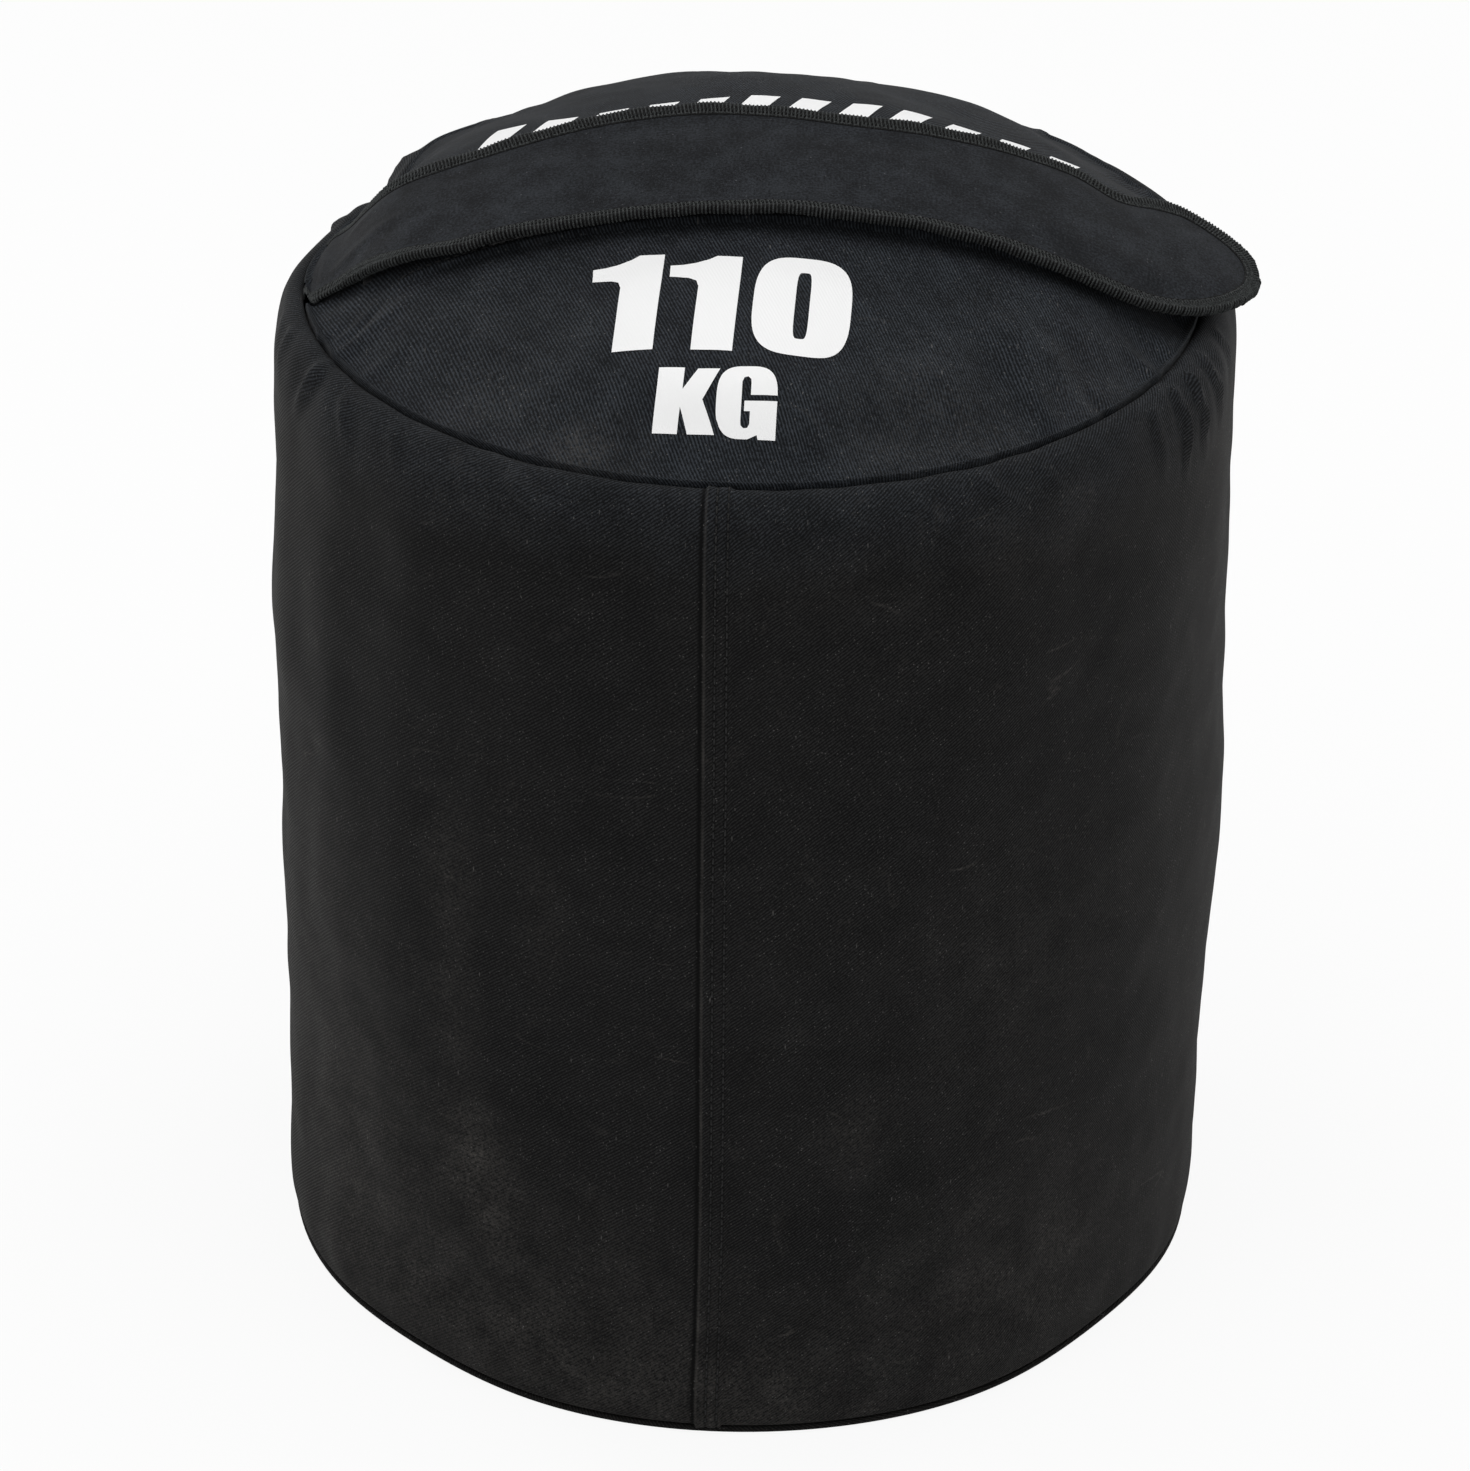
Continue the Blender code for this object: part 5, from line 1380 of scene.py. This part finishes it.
def makeSerging(look):
    # Overlocked edge: a dark sheath painted as the shade between its wrapped threads, the threads, and the
    # needle line, a dark thread painted as the shade of its groove
    outline, way = flapOutline(look["loopPitch"])
    wide, top, out = look["serging"], flapPlies, 0.0006
    turn = np.radians(np.linspace(90, 270, 9))
    middle, radius = top / 2, top / 2 + out
    section = [(wide * s, top + out * 0.4 + 0.0001 * math.sin(math.pi * s)) for s in (1.0, 0.75, 0.5, 0.25)]
    section += [(0.0004 + math.cos(a) * 0.0011, middle + radius * math.sin(a)) for a in turn]
    section += [(wide * s, -out * 0.4) for s in (0.25, 0.5, 0.75, 1.0)]
    section = np.array(section)
    sheath = aroundEdge(outline, way, section[:, 0], 0.0, section[:, 1])
    inner = aroundEdge(outline, way, np.array([wide, wide * 0.5, 0.0006, wide * 0.5, wide]), 0.0,
                       np.array([top + 0.0001, top + 0.0001, middle, -0.0001, -0.0001]))[:, ::-1]
    ring = np.concatenate([sheath, inner], 1)
    faces, corners = gridFaces(ring.shape[0], ring.shape[1], closed=True)
    length = np.arange(ring.shape[0]) * look["loopPitch"]
    flat = np.stack([stacked(length[a], b * 0.0008) for a, b in corners], -2)
    parts = [(ring, faces, flat)]
    # The needle line: a dark thread painted as the shade of the groove it presses into the cloth
    pull = aroundEdge(outline, way, np.array([wide + 0.0006]), 0.0, top + 0.0001)[:, 0]
    upward = np.broadcast_to(np.array([0.0, 0.0, 1.0]), pull.shape)
    parts.append(tubes(pull[None], upward[None], look["needleThread"], 4))
    shadowFaces = len(faces) + len(parts[1][1])

    lean = look["loopPitch"] * 0.8
    turn = np.radians(np.linspace(95, 265, 7))
    loop = [(wide + 0.0003, -0.5, top - 0.0001), (wide - 0.0006, -0.45, top + out * 0.75),
            (wide * 0.5, -0.25, top + out * 0.8)]
    loop += [(0.0003 + math.cos(a) * 0.0013, math.cos(a) * 0.1, middle + (radius + 0.0001) * math.sin(a))
             for a in turn]
    loop += [(wide * 0.5, 0.25, -out * 0.8), (wide - 0.0004, 0.5, -out * 0.6)]
    loop = np.array(loop)
    dice = np.random.default_rng(44)
    shake = dice.normal(0, 0.00030, (len(outline), 1)) * np.array([1.0] + [0.6] * (len(loop) - 1))
    paths = aroundEdge(outline, way, loop[:, 0] + shake, loop[:, 1] * lean, loop[:, 2])
    centre = aroundEdge(outline, way, np.array([0.003]), 0.0, middle)
    parts.append(tubes(paths, paths - centre, look["loopThread"], 5))

    # A looper thread zigzags over the ribs, and again along the outer edge
    fine, fineWay = flapOutline(look["loopPitch"] / 2)
    swing = np.where(np.arange(len(fine)) % 2, 0.5, -0.5)[:, None]
    for depth, span, height in ((wide * 0.62, 0.0018, top + out * 1.15), (0.0006, 0.0014, top + out * 0.55)):
        chain = aroundEdge(fine, fineWay, depth + swing * span, 0.0, height)[:, 0]
        square = np.broadcast_to(np.array([0.0, -0.3, 1.0]), chain.shape)
        parts.append(tubes(chain[None], square[None], look["loopThread"] * 0.8, 4))

    inward = wide - 0.0002
    line = aroundEdge(outline, way, np.array([inward]), 0.0, top + 0.0002)[:, 0]
    under = aroundEdge(outline, way, np.array([inward]), 0.0, top - 0.0030)[:, 0]
    normals = line - under
    normals /= np.linalg.norm(normals, axis=1)[:, None]
    parts.append(stitches(line, normals, look["needlePitch"], look["needleLength"], look["needleThread"]))
    serging = meshPiece("flapSerging", *merged(*parts))
    dressed(serging, finishes["serging"], None, "overlock_thread", "flap_overlock")
    # The sheath and the needle line take the near-black thread, painted shade
    serging.data.materials.append(finishes["sheath"])
    which = np.zeros(len(serging.data.polygons), int)
    which[:shadowFaces] = 1
    serging.data.polygons.foreach_set("material_index", which)
    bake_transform(serging)


# Hook tapes under the flap and loop tapes on the hems
fastener = {"reach": 0.114, "inset": 0.001, "base": 0.0007, "hookStep": 0.0022, "hookRadius": 0.00016}


def fastenerAcross(count):
    near, far = slit["half"] + fastener["inset"], slit["hemReach"] - fastener["inset"]
    return np.linspace(near, far, count)


def makeLoopTape(name, side, node):
    # Woven tape with a thick pile of loops, sewn on the hem
    reach = crownBall * math.asin(fastener["reach"] / crownBall)
    placed, y = np.linspace(-reach, reach, 190), -side * fastenerAcross(22)

    def spots(height):
        ball = crownBall + loopSeat + height
        angle = placed[:, None] / crownBall
        out = np.sqrt(ball**2 - y**2)
        return settle(slitFrame(stacked(out * np.sin(angle), y, out * np.cos(angle))))

    plan = stacked(placed[:, None], y)
    fluff = swell(stacked(placed[:, None], y, 0.0), 0.004, 51)
    rim = np.minimum(placed + reach, reach - placed)[:, None]
    rim = np.minimum(rim, np.minimum(np.abs(y) - np.abs(y).min(), np.abs(y).max() - np.abs(y)))
    height = flap["loop"] * (0.45 + 0.42 * ease(rim / 0.0015) + 0.12 * fluff)
    tape = slabPiece(name, spots(np.minimum(height, flap["loop"])), spots(0.0 * height), plan, flip=side < 0)
    dressed(tape, finishes["loops"], "bag", "hook_and_loop", node)


def makeHookTape(name, side, node):
    # Woven tape with rows of small moulded hooks, sewn under the flap
    middle = -flapStart * crownBall
    half = crownBall * math.asin(fastener["reach"] / crownBall)
    u = np.linspace(middle - half, middle + half, 120)
    y = -side * fastenerAcross(12)
    thick, gap = fastener["base"], drum["curveClear"]
    over = flapSpots(u[:, None], y[None, :], -gap)
    under = flapSpots(u[:, None], y[None, :], -gap - thick)
    plan = stacked(u[:, None], y[None, :])
    tape = slabPiece(name, over, under, plan, flip=side > 0)
    dressed(tape, finishes["hooks"], "flap", "hook_and_loop", node)
    step = fastener["hookStep"]
    gridU, gridY = np.meshgrid(np.arange(middle - half + 0.003, middle + half - 0.003, step),
                               -side * np.arange(slit["half"] + 0.003, slit["hemReach"] - 0.002, step / 1.5),
                               indexing="ij")
    gridU = gridU + (np.arange(gridU.shape[1]) % 2) * step / 2
    gridU, gridY = gridU.ravel(), gridY.ravel()
    reach = np.array([0.0, 0.35, 0.55, 0.62])
    lean = np.array([0.0, 0.0, 0.25, 0.6])
    room = flap["hook"] - thick
    paths = flapSpots(gridU[:, None] + lean * 0.0008, gridY[:, None] + 0 * lean, -gap - thick - reach * room)
    normals = np.broadcast_to(np.array([0.0, 1.0, 0.0]), paths.shape)
    radius = np.array([1.0, 0.9, 0.8, 0.4]) * fastener["hookRadius"]
    hooks = meshPiece(name + "Hooks", *tubes(paths, normals, radius, 3))
    dressed(hooks, finishes["plastic"], "flap", "hook_and_loop")


makeFlap(flap)
makeSerging(flap)
for side, place in ((1, "Front"), (-1, "Rear")):
    makeLoopTape("loopTape" + place, side, "loop_tape_" + place.lower())
    makeHookTape("hookTape" + place, side, "hook_tape_" + place.lower())
print("flap and fasteners made")

# Zip
zipper = {
    "tape": 0.001,
    "tapeWidth": 0.017,
    "tapeEdge": 0.002,
    "tapeReach": 0.170,
    "teethReach": 0.128,
    "pitch": 0.006,
    "thick": 0.0036,
    "root": 0.0043,
    "head": 0.0012,
    "rootHalf": 0.0019,
    "neckHalf": 0.0010,
    "headHalf": 0.0013,
    "waist": 0.0017,
    "nose": 0.010,
    "softEdge": 0.00012,
    "stitchPitch": 0.0026,
    "stitchLength": 0.0019,
    "threadRadius": 0.00022,
}
chainBall = crownBall - drum["cloth"] - drum["curveClear"] - zipper["tape"] / 2


def chainSpots(placed, y, ball):
    angle = placed / chainBall
    out = np.sqrt(np.square(ball) - np.square(y))
    return slitFrame(stacked(out * np.sin(angle), y, out * np.cos(angle)))


def chainLength(reach):
    return chainBall * math.asin(reach / chainBall)


def makeZipTape(name, side, look, node):
    # Woven tape, thicker at its corded inner edge
    reach = chainLength(look["tapeReach"])
    placed = np.linspace(-reach, reach, 150)[:, None]
    offset = np.linspace(look["tapeEdge"], look["tapeEdge"] + look["tapeWidth"], 16)[None, :]
    thick = look["tape"] / 2 * (0.72 + 0.28 * (1 - ease((offset - look["tapeEdge"] - 0.001) / 0.002)))
    y = -side * offset
    over, under = (chainSpots(placed, y + 0 * placed, chainBall + k * thick) for k in (1, -1))
    plan = stacked(placed, y)
    tape = slabPiece(name, over, under, plan, flip=side < 0)
    dressed(tape, finishes["zipTape"], "bag", "zip_plastic", node)
    row = placed[:, 0] * 0.985
    parts = []
    for depth in (look["root"] + 0.0012, look["tapeEdge"] + look["tapeWidth"] - 0.003):
        line = chainSpots(row, 0 * row - side * depth, chainBall + 0.00042)
        normals = line - np.array([0.0, 0.0, ballHeight])
        normals /= np.linalg.norm(normals, axis=1)[:, None]
        parts.append(stitches(line, normals, look["stitchPitch"], look["stitchLength"], look["threadRadius"]))
    rows = meshPiece(name + "Stitching", *merged(*parts))
    dressed(rows, finishes["sewing"], "bag", "zip_plastic")


def toothShape(look):
    # Outline of a tooth from root to head, with rounded shoulders
    root, waist, head = look["root"], look["waist"], look["head"]
    wide, neck, tip = look["rootHalf"], look["neckHalf"], look["headHalf"]
    right = [(wide * 0.86, root), (wide, root - 0.0006), (wide * 0.8, waist + 0.0010), (neck, waist),
             (neck, waist - 0.0009), (tip, -head * 0.35), (tip * 0.94, -head * 0.8), (tip * 0.62, -head)]
    return np.array(right + [(-x, y) for x, y in right[::-1]])


def makeTeeth(name, side, look):
    length = chainLength(look["teethReach"])
    count = int(2 * length / look["pitch"])
    shape = toothShape(look)
    levels = np.array([-1.0, -0.84, 0.0, 0.84, 1.0])
    shrink = np.array([0.84, 1.0, 1.0, 1.0, 0.84])
    middle = np.array([0.0, shape[:, 1].mean()])
    spots, faces, flat = [], [], []
    size = len(shape)
    for i in range(count):
        start = -length + look["pitch"] * (i + 0.5) + look["pitch"] / 4 * side
        first = len(spots)
        for level, keep in zip(levels, shrink):
            outline = middle + (shape - middle) * keep
            ball = chainBall + level * look["thick"] / 2
            spots += chainSpots(start + outline[:, 0], -side * outline[:, 1], ball).tolist()
        for k in range(len(levels) - 1):
            for j in range(size):
                n = (j + 1) % size
                low, high = first + k * size, first + (k + 1) * size
                faces.append([low + j, low + n, high + n, high + j])
                flat += [(0, 0)] * 4
        last = first + (len(levels) - 1) * size
        faces += [list(range(first + size - 1, first - 1, -1)), list(range(last, last + size))]
        flat += [(0, 0)] * (2 * size)
    start = length + look["nose"] + drum["clear"]
    block = np.array([(0, look["tapeEdge"]), (look["root"], look["tapeEdge"]), (look["root"], look["root"]),
                      (0, look["root"])])
    first = len(spots)
    for level in (-1, 1):
        ball = chainBall + level * look["thick"] / 2
        spots += chainSpots(start + block[:, 0], -side * block[:, 1], ball).tolist()
    faces += [[first + 3, first + 2, first + 1, first], [first + 4, first + 5, first + 6, first + 7]]
    faces += [[first + j, first + (j + 1) % 4, first + 4 + (j + 1) % 4, first + 4 + j] for j in range(4)]
    flat += [(0, 0)] * 24
    teeth = mended(meshPiece(name, spots, faces, flat), sharp=38)
    bevel = teeth.modifiers.new("softEdges", "BEVEL")
    bevel.width, bevel.segments, bevel.limit_method = look["softEdge"], 2, "ANGLE"
    dressed(teeth, finishes["plastic"], "bag", "zip_plastic")


for side, place in ((1, "Front"), (-1, "Rear")):
    makeZipTape("zipTape" + place, side, zipper, "zip_stringer_" + place.lower())
    makeTeeth("zipTeeth" + place, side, zipper)


def softenSolid(node, material, width):
    # A moulded solid keeps its shape and gets rounded edges and its finish
    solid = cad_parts[node]
    weld = solid.modifiers.new("weld", "WELD")
    weld.merge_threshold = 0.00001
    bevel = solid.modifiers.new("softEdges", "BEVEL")
    bevel.width, bevel.segments, bevel.limit_method, bevel.angle_limit = width, 3, "ANGLE", math.radians(35)
    solid.data.materials.clear()
    solid.data.materials.append(material)
    solid.data.shade_smooth()


softenSolid("zip_slider", finishes["metal"], 0.0002)
softenSolid("zip_pull", finishes["metal"], 0.00025)
softenSolid("zip_bottom_stop", finishes["plastic"], 0.0002)
print("zip made")

# Inner bag, its tie and the sand
inner = {
    "cloth": 0.0010,
    "clear": 0.0012,
    "cornerHeight": 0.048,
    "cornerRun": 0.032,
    "baseGap": 0.0264,
    "topDrop": 0.060,
    "rimGap": 0.0114,
    "shoulderRise": 0.042,
    "crown": 0.036,
    "crownReach": 0.075,
    "neckRadius": 0.011,
    "neckFoot": 0.019,
    "neckTie": 0.034,
    "ruffleTop": 0.047,
    "ruffleRadius": 0.021,
    "pleats": 20,
    "columns": 240,
    "tieWidth": 0.005,
    "tieThick": 0.0022,
    "tieHead": (0.0026, 0.0062, 0.0056),
    "tieColumns": 160,
    "ridge": 0.00018,
    "ridges": 44,
    "sandColumns": 160,
}


def innerLine(look, shrink=0.0):
    # Side of the inner bag, from the middle of its bottom up to the foot of its neck
    wide = min(share for _, share in drum["wallShares"]) * drum["bodyRadius"] - drum["cloth"] - look["clear"]
    low = drum["cloth"] + drum["curveClear"] + shrink
    corner = min(drum["baseRadius"] - look["baseGap"], wide - look["cornerRun"])
    wide -= shrink
    rim, top = drum["rimHeight"], drum["rimHeight"] - look["topDrop"]
    shoulder = min(drum["rimRadius"] - look["rimGap"], wide) - shrink
    rise = look["topDrop"] - look["shoulderRise"] + look["crown"]
    return np.concatenate([
        [(0.001, low), (corner * 0.35, low), (corner * 0.7, low)],
        arc(corner, low + look["cornerHeight"], look["cornerRun"] - shrink, 270, 360, 14,
            look["cornerHeight"]),
        stacked(np.full(16, wide), np.linspace(low + look["cornerHeight"] + 0.02, top - 0.02, 16)),
        arc(shoulder, top, wide - shoulder, 0, 80, 12, look["shoulderRise"] - shrink),
        arc(look["crownReach"], rim + look["crown"] - rise, shoulder - look["crownReach"], 12, 90, 16,
            rise - shrink),
        [(look["neckRadius"] * 3.4, rim + look["neckFoot"] + 0.011 - shrink),
         (look["neckRadius"] * 2, rim + look["neckFoot"] - shrink)],
    ])


def makeInnerBag(look):
    # Tied inner bag: soft wrinkles below, pleats that gather at its neck and a ruffle above the tie
    rim, neck, ruffle = drum["rimHeight"], look["neckRadius"], look["ruffleRadius"]
    low, high = rim + look["neckTie"] - look["tieWidth"], rim + look["neckTie"] + look["tieWidth"]
    line = np.concatenate([innerLine(look), [
        (neck * 1.35, rim + look["neckFoot"] + 0.003), (neck, low), (neck, (low + high) / 2), (neck, high),
        (ruffle * 0.72, (high + rim + look["ruffleTop"]) / 2), (ruffle, rim + look["ruffleTop"])]])
    turn = turns(look["columns"])
    r, z = line[:, :1], line[:, 1:]
    gather = ease((0.085 - r) / 0.075) * (z > rim)
    r = r * (1 + 0.13 * gather * np.sin(turn * look["pleats"] + 1.5 * np.sin(turn * 3)))
    spots = around(r, turn, z)
    wrinkle = swell(spots * np.array([1, 1, 0.35]), 0.05, 61) - 1.2
    inward = (0.0005 * wrinkle - 0.0014) * ease((z - 0.02) / 0.03) * (1 - gather)
    spots += around(1.0, turn, 0 * z) * inward[..., None]
    weave = stacked(turns(look["columns"], closed=True) * 0.2, lengths(line)[:, None])
    bag = gridPiece("innerBag", settle(spots), weave, closed=True)
    dressed(bag, finishes["liner"], "bag", "liner_cloth", "liner_bag")


def makeNeckTie(look):
    # Nylon strap round the neck with a ladder of ridges, and its locking head
    inside, middle = look["neckRadius"] * 1.14 + drum["clear"], drum["rimHeight"] + look["neckTie"]
    turn = turns(look["tieColumns"])
    half, thick = look["tieWidth"] / 2, look["tieThick"] * 0.55
    section = np.array([(0, -half), (0, half), (thick, half * 0.9), (thick, half * 0.5), (thick, -half * 0.5),
                        (thick, -half * 0.9)])
    r = inside + section[:, :1] + 0 * turn
    r[3:5] += look["ridge"] * np.sin(turn * look["ridges"])
    spots = around(r, turn, middle + section[:, 1:])
    spots = np.concatenate([spots, spots[:1]])
    length = np.linspace(0, 0.014, len(spots))[:, None]
    weave = stacked(turns(look["tieColumns"], closed=True) * inside, length)

    def addHead(editing):
        head = bmesh.ops.create_cube(editing, size=1.0)["verts"]
        deep, wide, tall = look["tieHead"]
        for vert in head:
            x, y, height = vert.co
            vert.co = (inside + 0.0012 + x * deep, y * wide, middle + height * tall)
        edges = list({edge for vert in head for edge in vert.link_edges})
        bmesh.ops.bevel(editing, geom=edges, offset=0.0006, segments=3, affect="EDGES")

    tie = gridPiece("neckTie", spots, weave, closed=True)
    mended(tie, sharp=45, weld=True, add=addHead)
    dressed(tie, finishes["nylon"], "bag", "tie_nylon", "liner_tie")


def makeSand(look):
    # The fill, a little lumpy under the inner bag
    line = innerLine(look, look["cloth"] + drum["curveClear"] + 0.0004)
    columns = look["sandColumns"]
    turn = turns(columns)
    z = line[:, 1:]
    spots = around(line[:, :1], turn, z)
    lump = swell(spots, 0.04, 71) - 1.3
    inward = (0.0006 * lump - 0.0015) * ease((z - 0.02) / 0.03)
    spots += around(1.0, turn, 0 * z) * inward[..., None]
    weave = stacked(np.linspace(0, 1.2, columns + 1), lengths(line)[:, None])
    sand = gridPiece("sandFill", settle(spots), weave, closed=True)
    top = (len(line) - 1) * columns
    mended(sand, caps=[range(columns)[::-1], range(top, top + columns)])
    dressed(sand, finishes["sand"], "bag", "sand", "sand_fill")


makeInnerBag(inner)
makeNeckTie(inner)
makeSand(inner)
print("inner bag, tie and sand made")

# Weight marking: plain heavy figures and unit, in millimetres of the top's plan
marking = {
    "one": [(0, 0), (17.4, 0), (17.4, 57), (6.6, 57), (3.2, 54.6), (-2.6, 52.0), (-7.6, 50.7), (-13.0, 50.2),
            (-12.7, 42.8), (-4.4, 42.0), (-1.2, 40.6), (0, 37.0)],
    "kay": [(0, 0), (10.4, 0), (11.0, 12.0), (14.6, 0), (26.0, 0), (20.2, 15.6), (26.8, 30.2), (17.6, 30.0),
            (11.6, 20.4), (12.0, 30.4), (1.2, 30.4)],
    "slope": -0.12,
    "lean": 0.075,
    "ones": ((-59.8, -138.2), (-26.4, -142.8)),
    "kayPlace": (-42.2, -180.4),
    "zero": ((20.5, -116.6), (20.9, 29.4), (3.1, 20.2)),  # centre, half sizes outside, half sizes of its hole
    "gee": (-2.7, -168.9),
    "cell": 0.0035,
    "raise": 0.00028,
}


def roundedShape(centre, half, power, lean, slope, count=72):
    turn = turns(count)
    x = np.sign(np.cos(turn)) * np.abs(np.cos(turn)) ** (2 / power) * half[0]
    y = np.sign(np.sin(turn)) * np.abs(np.sin(turn)) ** (2 / power) * half[1]
    return [(centre[0] + a + b * lean, centre[1] + b + a * slope) for a, b in zip(x, y)]


def slanted(outline, origin, slope, lean):
    return [(origin[0] + x + y * lean, origin[1] + y + x * slope) for x, y in outline]


def geeOutline():
    # Rounded letter with a straight counter, a bar and a spur
    def squared(share, half):
        return math.copysign(abs(share) ** 0.62, share) * half

    left = []
    for first, last, count, wide, tall in ((12, 200, 30, 12.7, 16.4), (205, 271, 12, 12.4, 16.6)):
        for turn in np.radians(np.linspace(first, last, count)):
            left.append((squared(math.cos(turn), wide), squared(math.sin(turn), tall)))
    spur = [(4.9, -15.0), (5.4, -16.7), (12.7, -16.8), (12.7, 0.2), (-0.9, 0.2), (-0.9, -4.8), (1.6, -4.8),
            (1.6, -10.6), (0.8, -12.2), (-0.8, -12.4), (-2.0, -11.2), (-2.2, -9.4), (-2.2, 9.2), (-1.4, 11.2),
            (0.2, 11.6), (1.4, 10.4), (1.6, 8.6), (1.6, 3.0), (12.7, 3.0)]
    return left + spur


def makeMarking(look):
    # Flat figures in millimetres, cut into cells and laid on the cloth
    outlines = [[slanted(look["one"], origin, look["slope"], look["lean"])] for origin in look["ones"]]
    centre, outside, hole = look["zero"]
    outlines.append([roundedShape(centre, outside, 3.3, look["lean"], -0.03),
                     roundedShape(centre, hole, 5.0, look["lean"], -0.03, 40)])
    outlines.append([slanted(look["kay"], look["kayPlace"], look["slope"], 0.055)])
    outlines.append([slanted(geeOutline(), look["gee"], look["slope"] * 0.15, 0.045)])
    editing = bmesh.new()
    for loops in outlines:
        edges = []
        for loop in loops:
            verts = [editing.verts.new((x / 1000, y / 1000, 0)) for x, y in loop]
            edges += [editing.edges.new((a, b)) for a, b in zip(verts, verts[1:] + verts[:1])]
        bmesh.ops.triangle_fill(editing, edges=edges, use_beauty=True)
    plan = np.array([v.co[:2] for v in editing.verts])
    low, high = plan.min(0), plan.max(0)
    for axis, way in enumerate((Vector((1, 0, 0)), Vector((0, 1, 0)))):
        for place in np.arange(low[axis] + look["cell"] / 2, high[axis], look["cell"]):
            geom = editing.verts[:] + editing.edges[:] + editing.faces[:]
            bmesh.ops.bisect_plane(editing, geom=geom, dist=1e-7, plane_co=way * float(place), plane_no=way)
    for face in editing.faces:
        if face.normal.z < 0:
            face.normal_flip()
    plan = np.array([v.co[:2] for v in editing.verts])
    plan[:, 1] += 0.87 * edgeDrop(plan[:, 0], plan[:, 1])
    surface = topSurface(1)
    spots = surface(plan[:, 0], plan[:, 1])
    spots += squareTo(surface, plan[:, 0], plan[:, 1]) * look["raise"]
    layer = editing.loops.layers.uv.new("cloth")
    for face in editing.faces:
        for corner in face.loops:
            corner[layer].uv = corner.vert.co[:2]
    for vert, spot in zip(editing.verts, spots):
        vert.co = spot
    mesh = bpy.data.meshes.new("weightMark")
    editing.to_mesh(mesh)
    editing.free()
    mesh.shade_smooth()
    mark = bpy.data.objects.new("weightMark", mesh)
    scene.collection.objects.link(mark)
    dressed(mark, finishes["ink"], "bag", "canvas")


makeMarking(marking)

# Row of plain slanted bars on the rear half of the top, behind the flap
bars = {
    "from": -0.126, "count": 12, "step": 0.0225, "wide": 0.0130, "tall": 0.030, "slant": 0.012, "off": 0.0150,
    "cells": 9,
}


def makeBars(look):
    shares = np.linspace(0, 1, look["cells"] + 1)
    surface = topSurface(-1)
    faces, corners = gridFaces(len(shares), len(shares))
    parts = []
    for k in range(look["count"]):
        foot = look["from"] + k * look["step"] + shares * look["wide"]
        _, rear = flapEdges(crownBall * (np.arcsin(foot / crownBall) - flapStart))
        line = rear - slitMiddle(foot) + look["off"]
        x = foot[None, :] + look["slant"] * shares[:, None]
        y = line[None, :] + look["tall"] * shares[:, None]
        spots = surface(x, y) + squareTo(surface, x, y) * marking["raise"]
        plan = stacked(x, y)
        parts.append((spots, faces, np.stack([plan[a, b] for a, b in corners], -2)))
    row = meshPiece("rearBars", *merged(*parts))
    dressed(row, finishes["ink"], "bag", "canvas")


makeBars(bars)
print("marking made")

# Floor, light and world
stageLook = {
    "floor": (0.94, 0.94, 0.94),
    "floorGlow": 0.90,  # share of plain white that the camera sees on the floor
    "fill": 0.34,
    "lamps": (  # name, place, target, size, watts
        ("overhead", (0.0, -0.2, 2.6), (0.0, 0.0, 0.4), (2.4, 1.8), 30.0),
        ("frontLeft", (-2.0, -1.9, 1.7), (0.0, 0.0, 0.3), (1.4, 1.6), 12.0),
        ("frontRight", (2.2, -1.6, 1.5), (0.0, 0.0, 0.3), (1.2, 1.6), 8.0),
        ("backLeft", (-1.9, 1.7, 1.2), (0.0, 0.0, 0.3), (1.0, 1.8), 14.0),
        ("backRight", (1.9, 1.7, 1.2), (0.0, 0.0, 0.3), (1.0, 1.8), 14.0),
    ),
}


def makeStage(look):
    editing = bmesh.new()
    bmesh.ops.create_grid(editing, x_segments=8, y_segments=8, size=9.0)
    mesh = bpy.data.meshes.new("floor")
    editing.to_mesh(mesh)
    editing.free()
    floor = bpy.data.objects.new("floor", mesh)
    floor.location = (0, 0, -0.0002)
    scene.collection.objects.link(floor)
    finish = Finish("paleFloor", Base_Color=look["floor"], Roughness=0.9, Specular_IOR_Level=0.1)
    seen = finish.node("ShaderNodeLightPath", out="Is Camera Ray")
    glow = finish.node("ShaderNodeEmission", {}, {"Color": (1.0, 1.0, 1.0), "Strength": 1.0})
    both = finish.node("ShaderNodeMixShader", {}, {
        0: seen * look["floorGlow"], 1: Wire(finish, finish.shader.outputs[0]), 2: glow})
    finish.give(finish.tree.nodes["Material Output"], "Surface", both)
    mesh.materials.append(finish.material)

    for name, place, target, size, watts in look["lamps"]:
        data = bpy.data.lights.new(name, "AREA")
        data.shape, data.size, data.size_y, data.energy = "RECTANGLE", *size, watts
        lamp = bpy.data.objects.new(name, data)
        lamp.location = place
        lamp.rotation_euler = (Vector(place) - Vector(target)).to_track_quat("Z", "Y").to_euler()
        scene.collection.objects.link(lamp)

    world = bpy.data.worlds.new("whiteRoom")
    world.use_nodes = True
    scene.world = world
    sky = Nodes(world.node_tree)
    plain = sky.tree.nodes["Background"]
    sky.give(plain, "Color", (1.0, 1.0, 1.0))
    sky.give(plain, "Strength", look["fill"])
    white = sky.node("ShaderNodeBackground", {}, {"Color": (1.0, 1.0, 1.0), "Strength": 1.0})
    seen = sky.node("ShaderNodeLightPath", out="Is Camera Ray")
    mixed = sky.node("ShaderNodeMixShader", {}, {0: seen, 1: Wire(sky, plain.outputs[0]), 2: white})
    sky.give(sky.tree.nodes["World Output"], "Surface", mixed)


makeStage(stageLook)
scene.view_settings.view_transform = "Standard"
print("stage set")
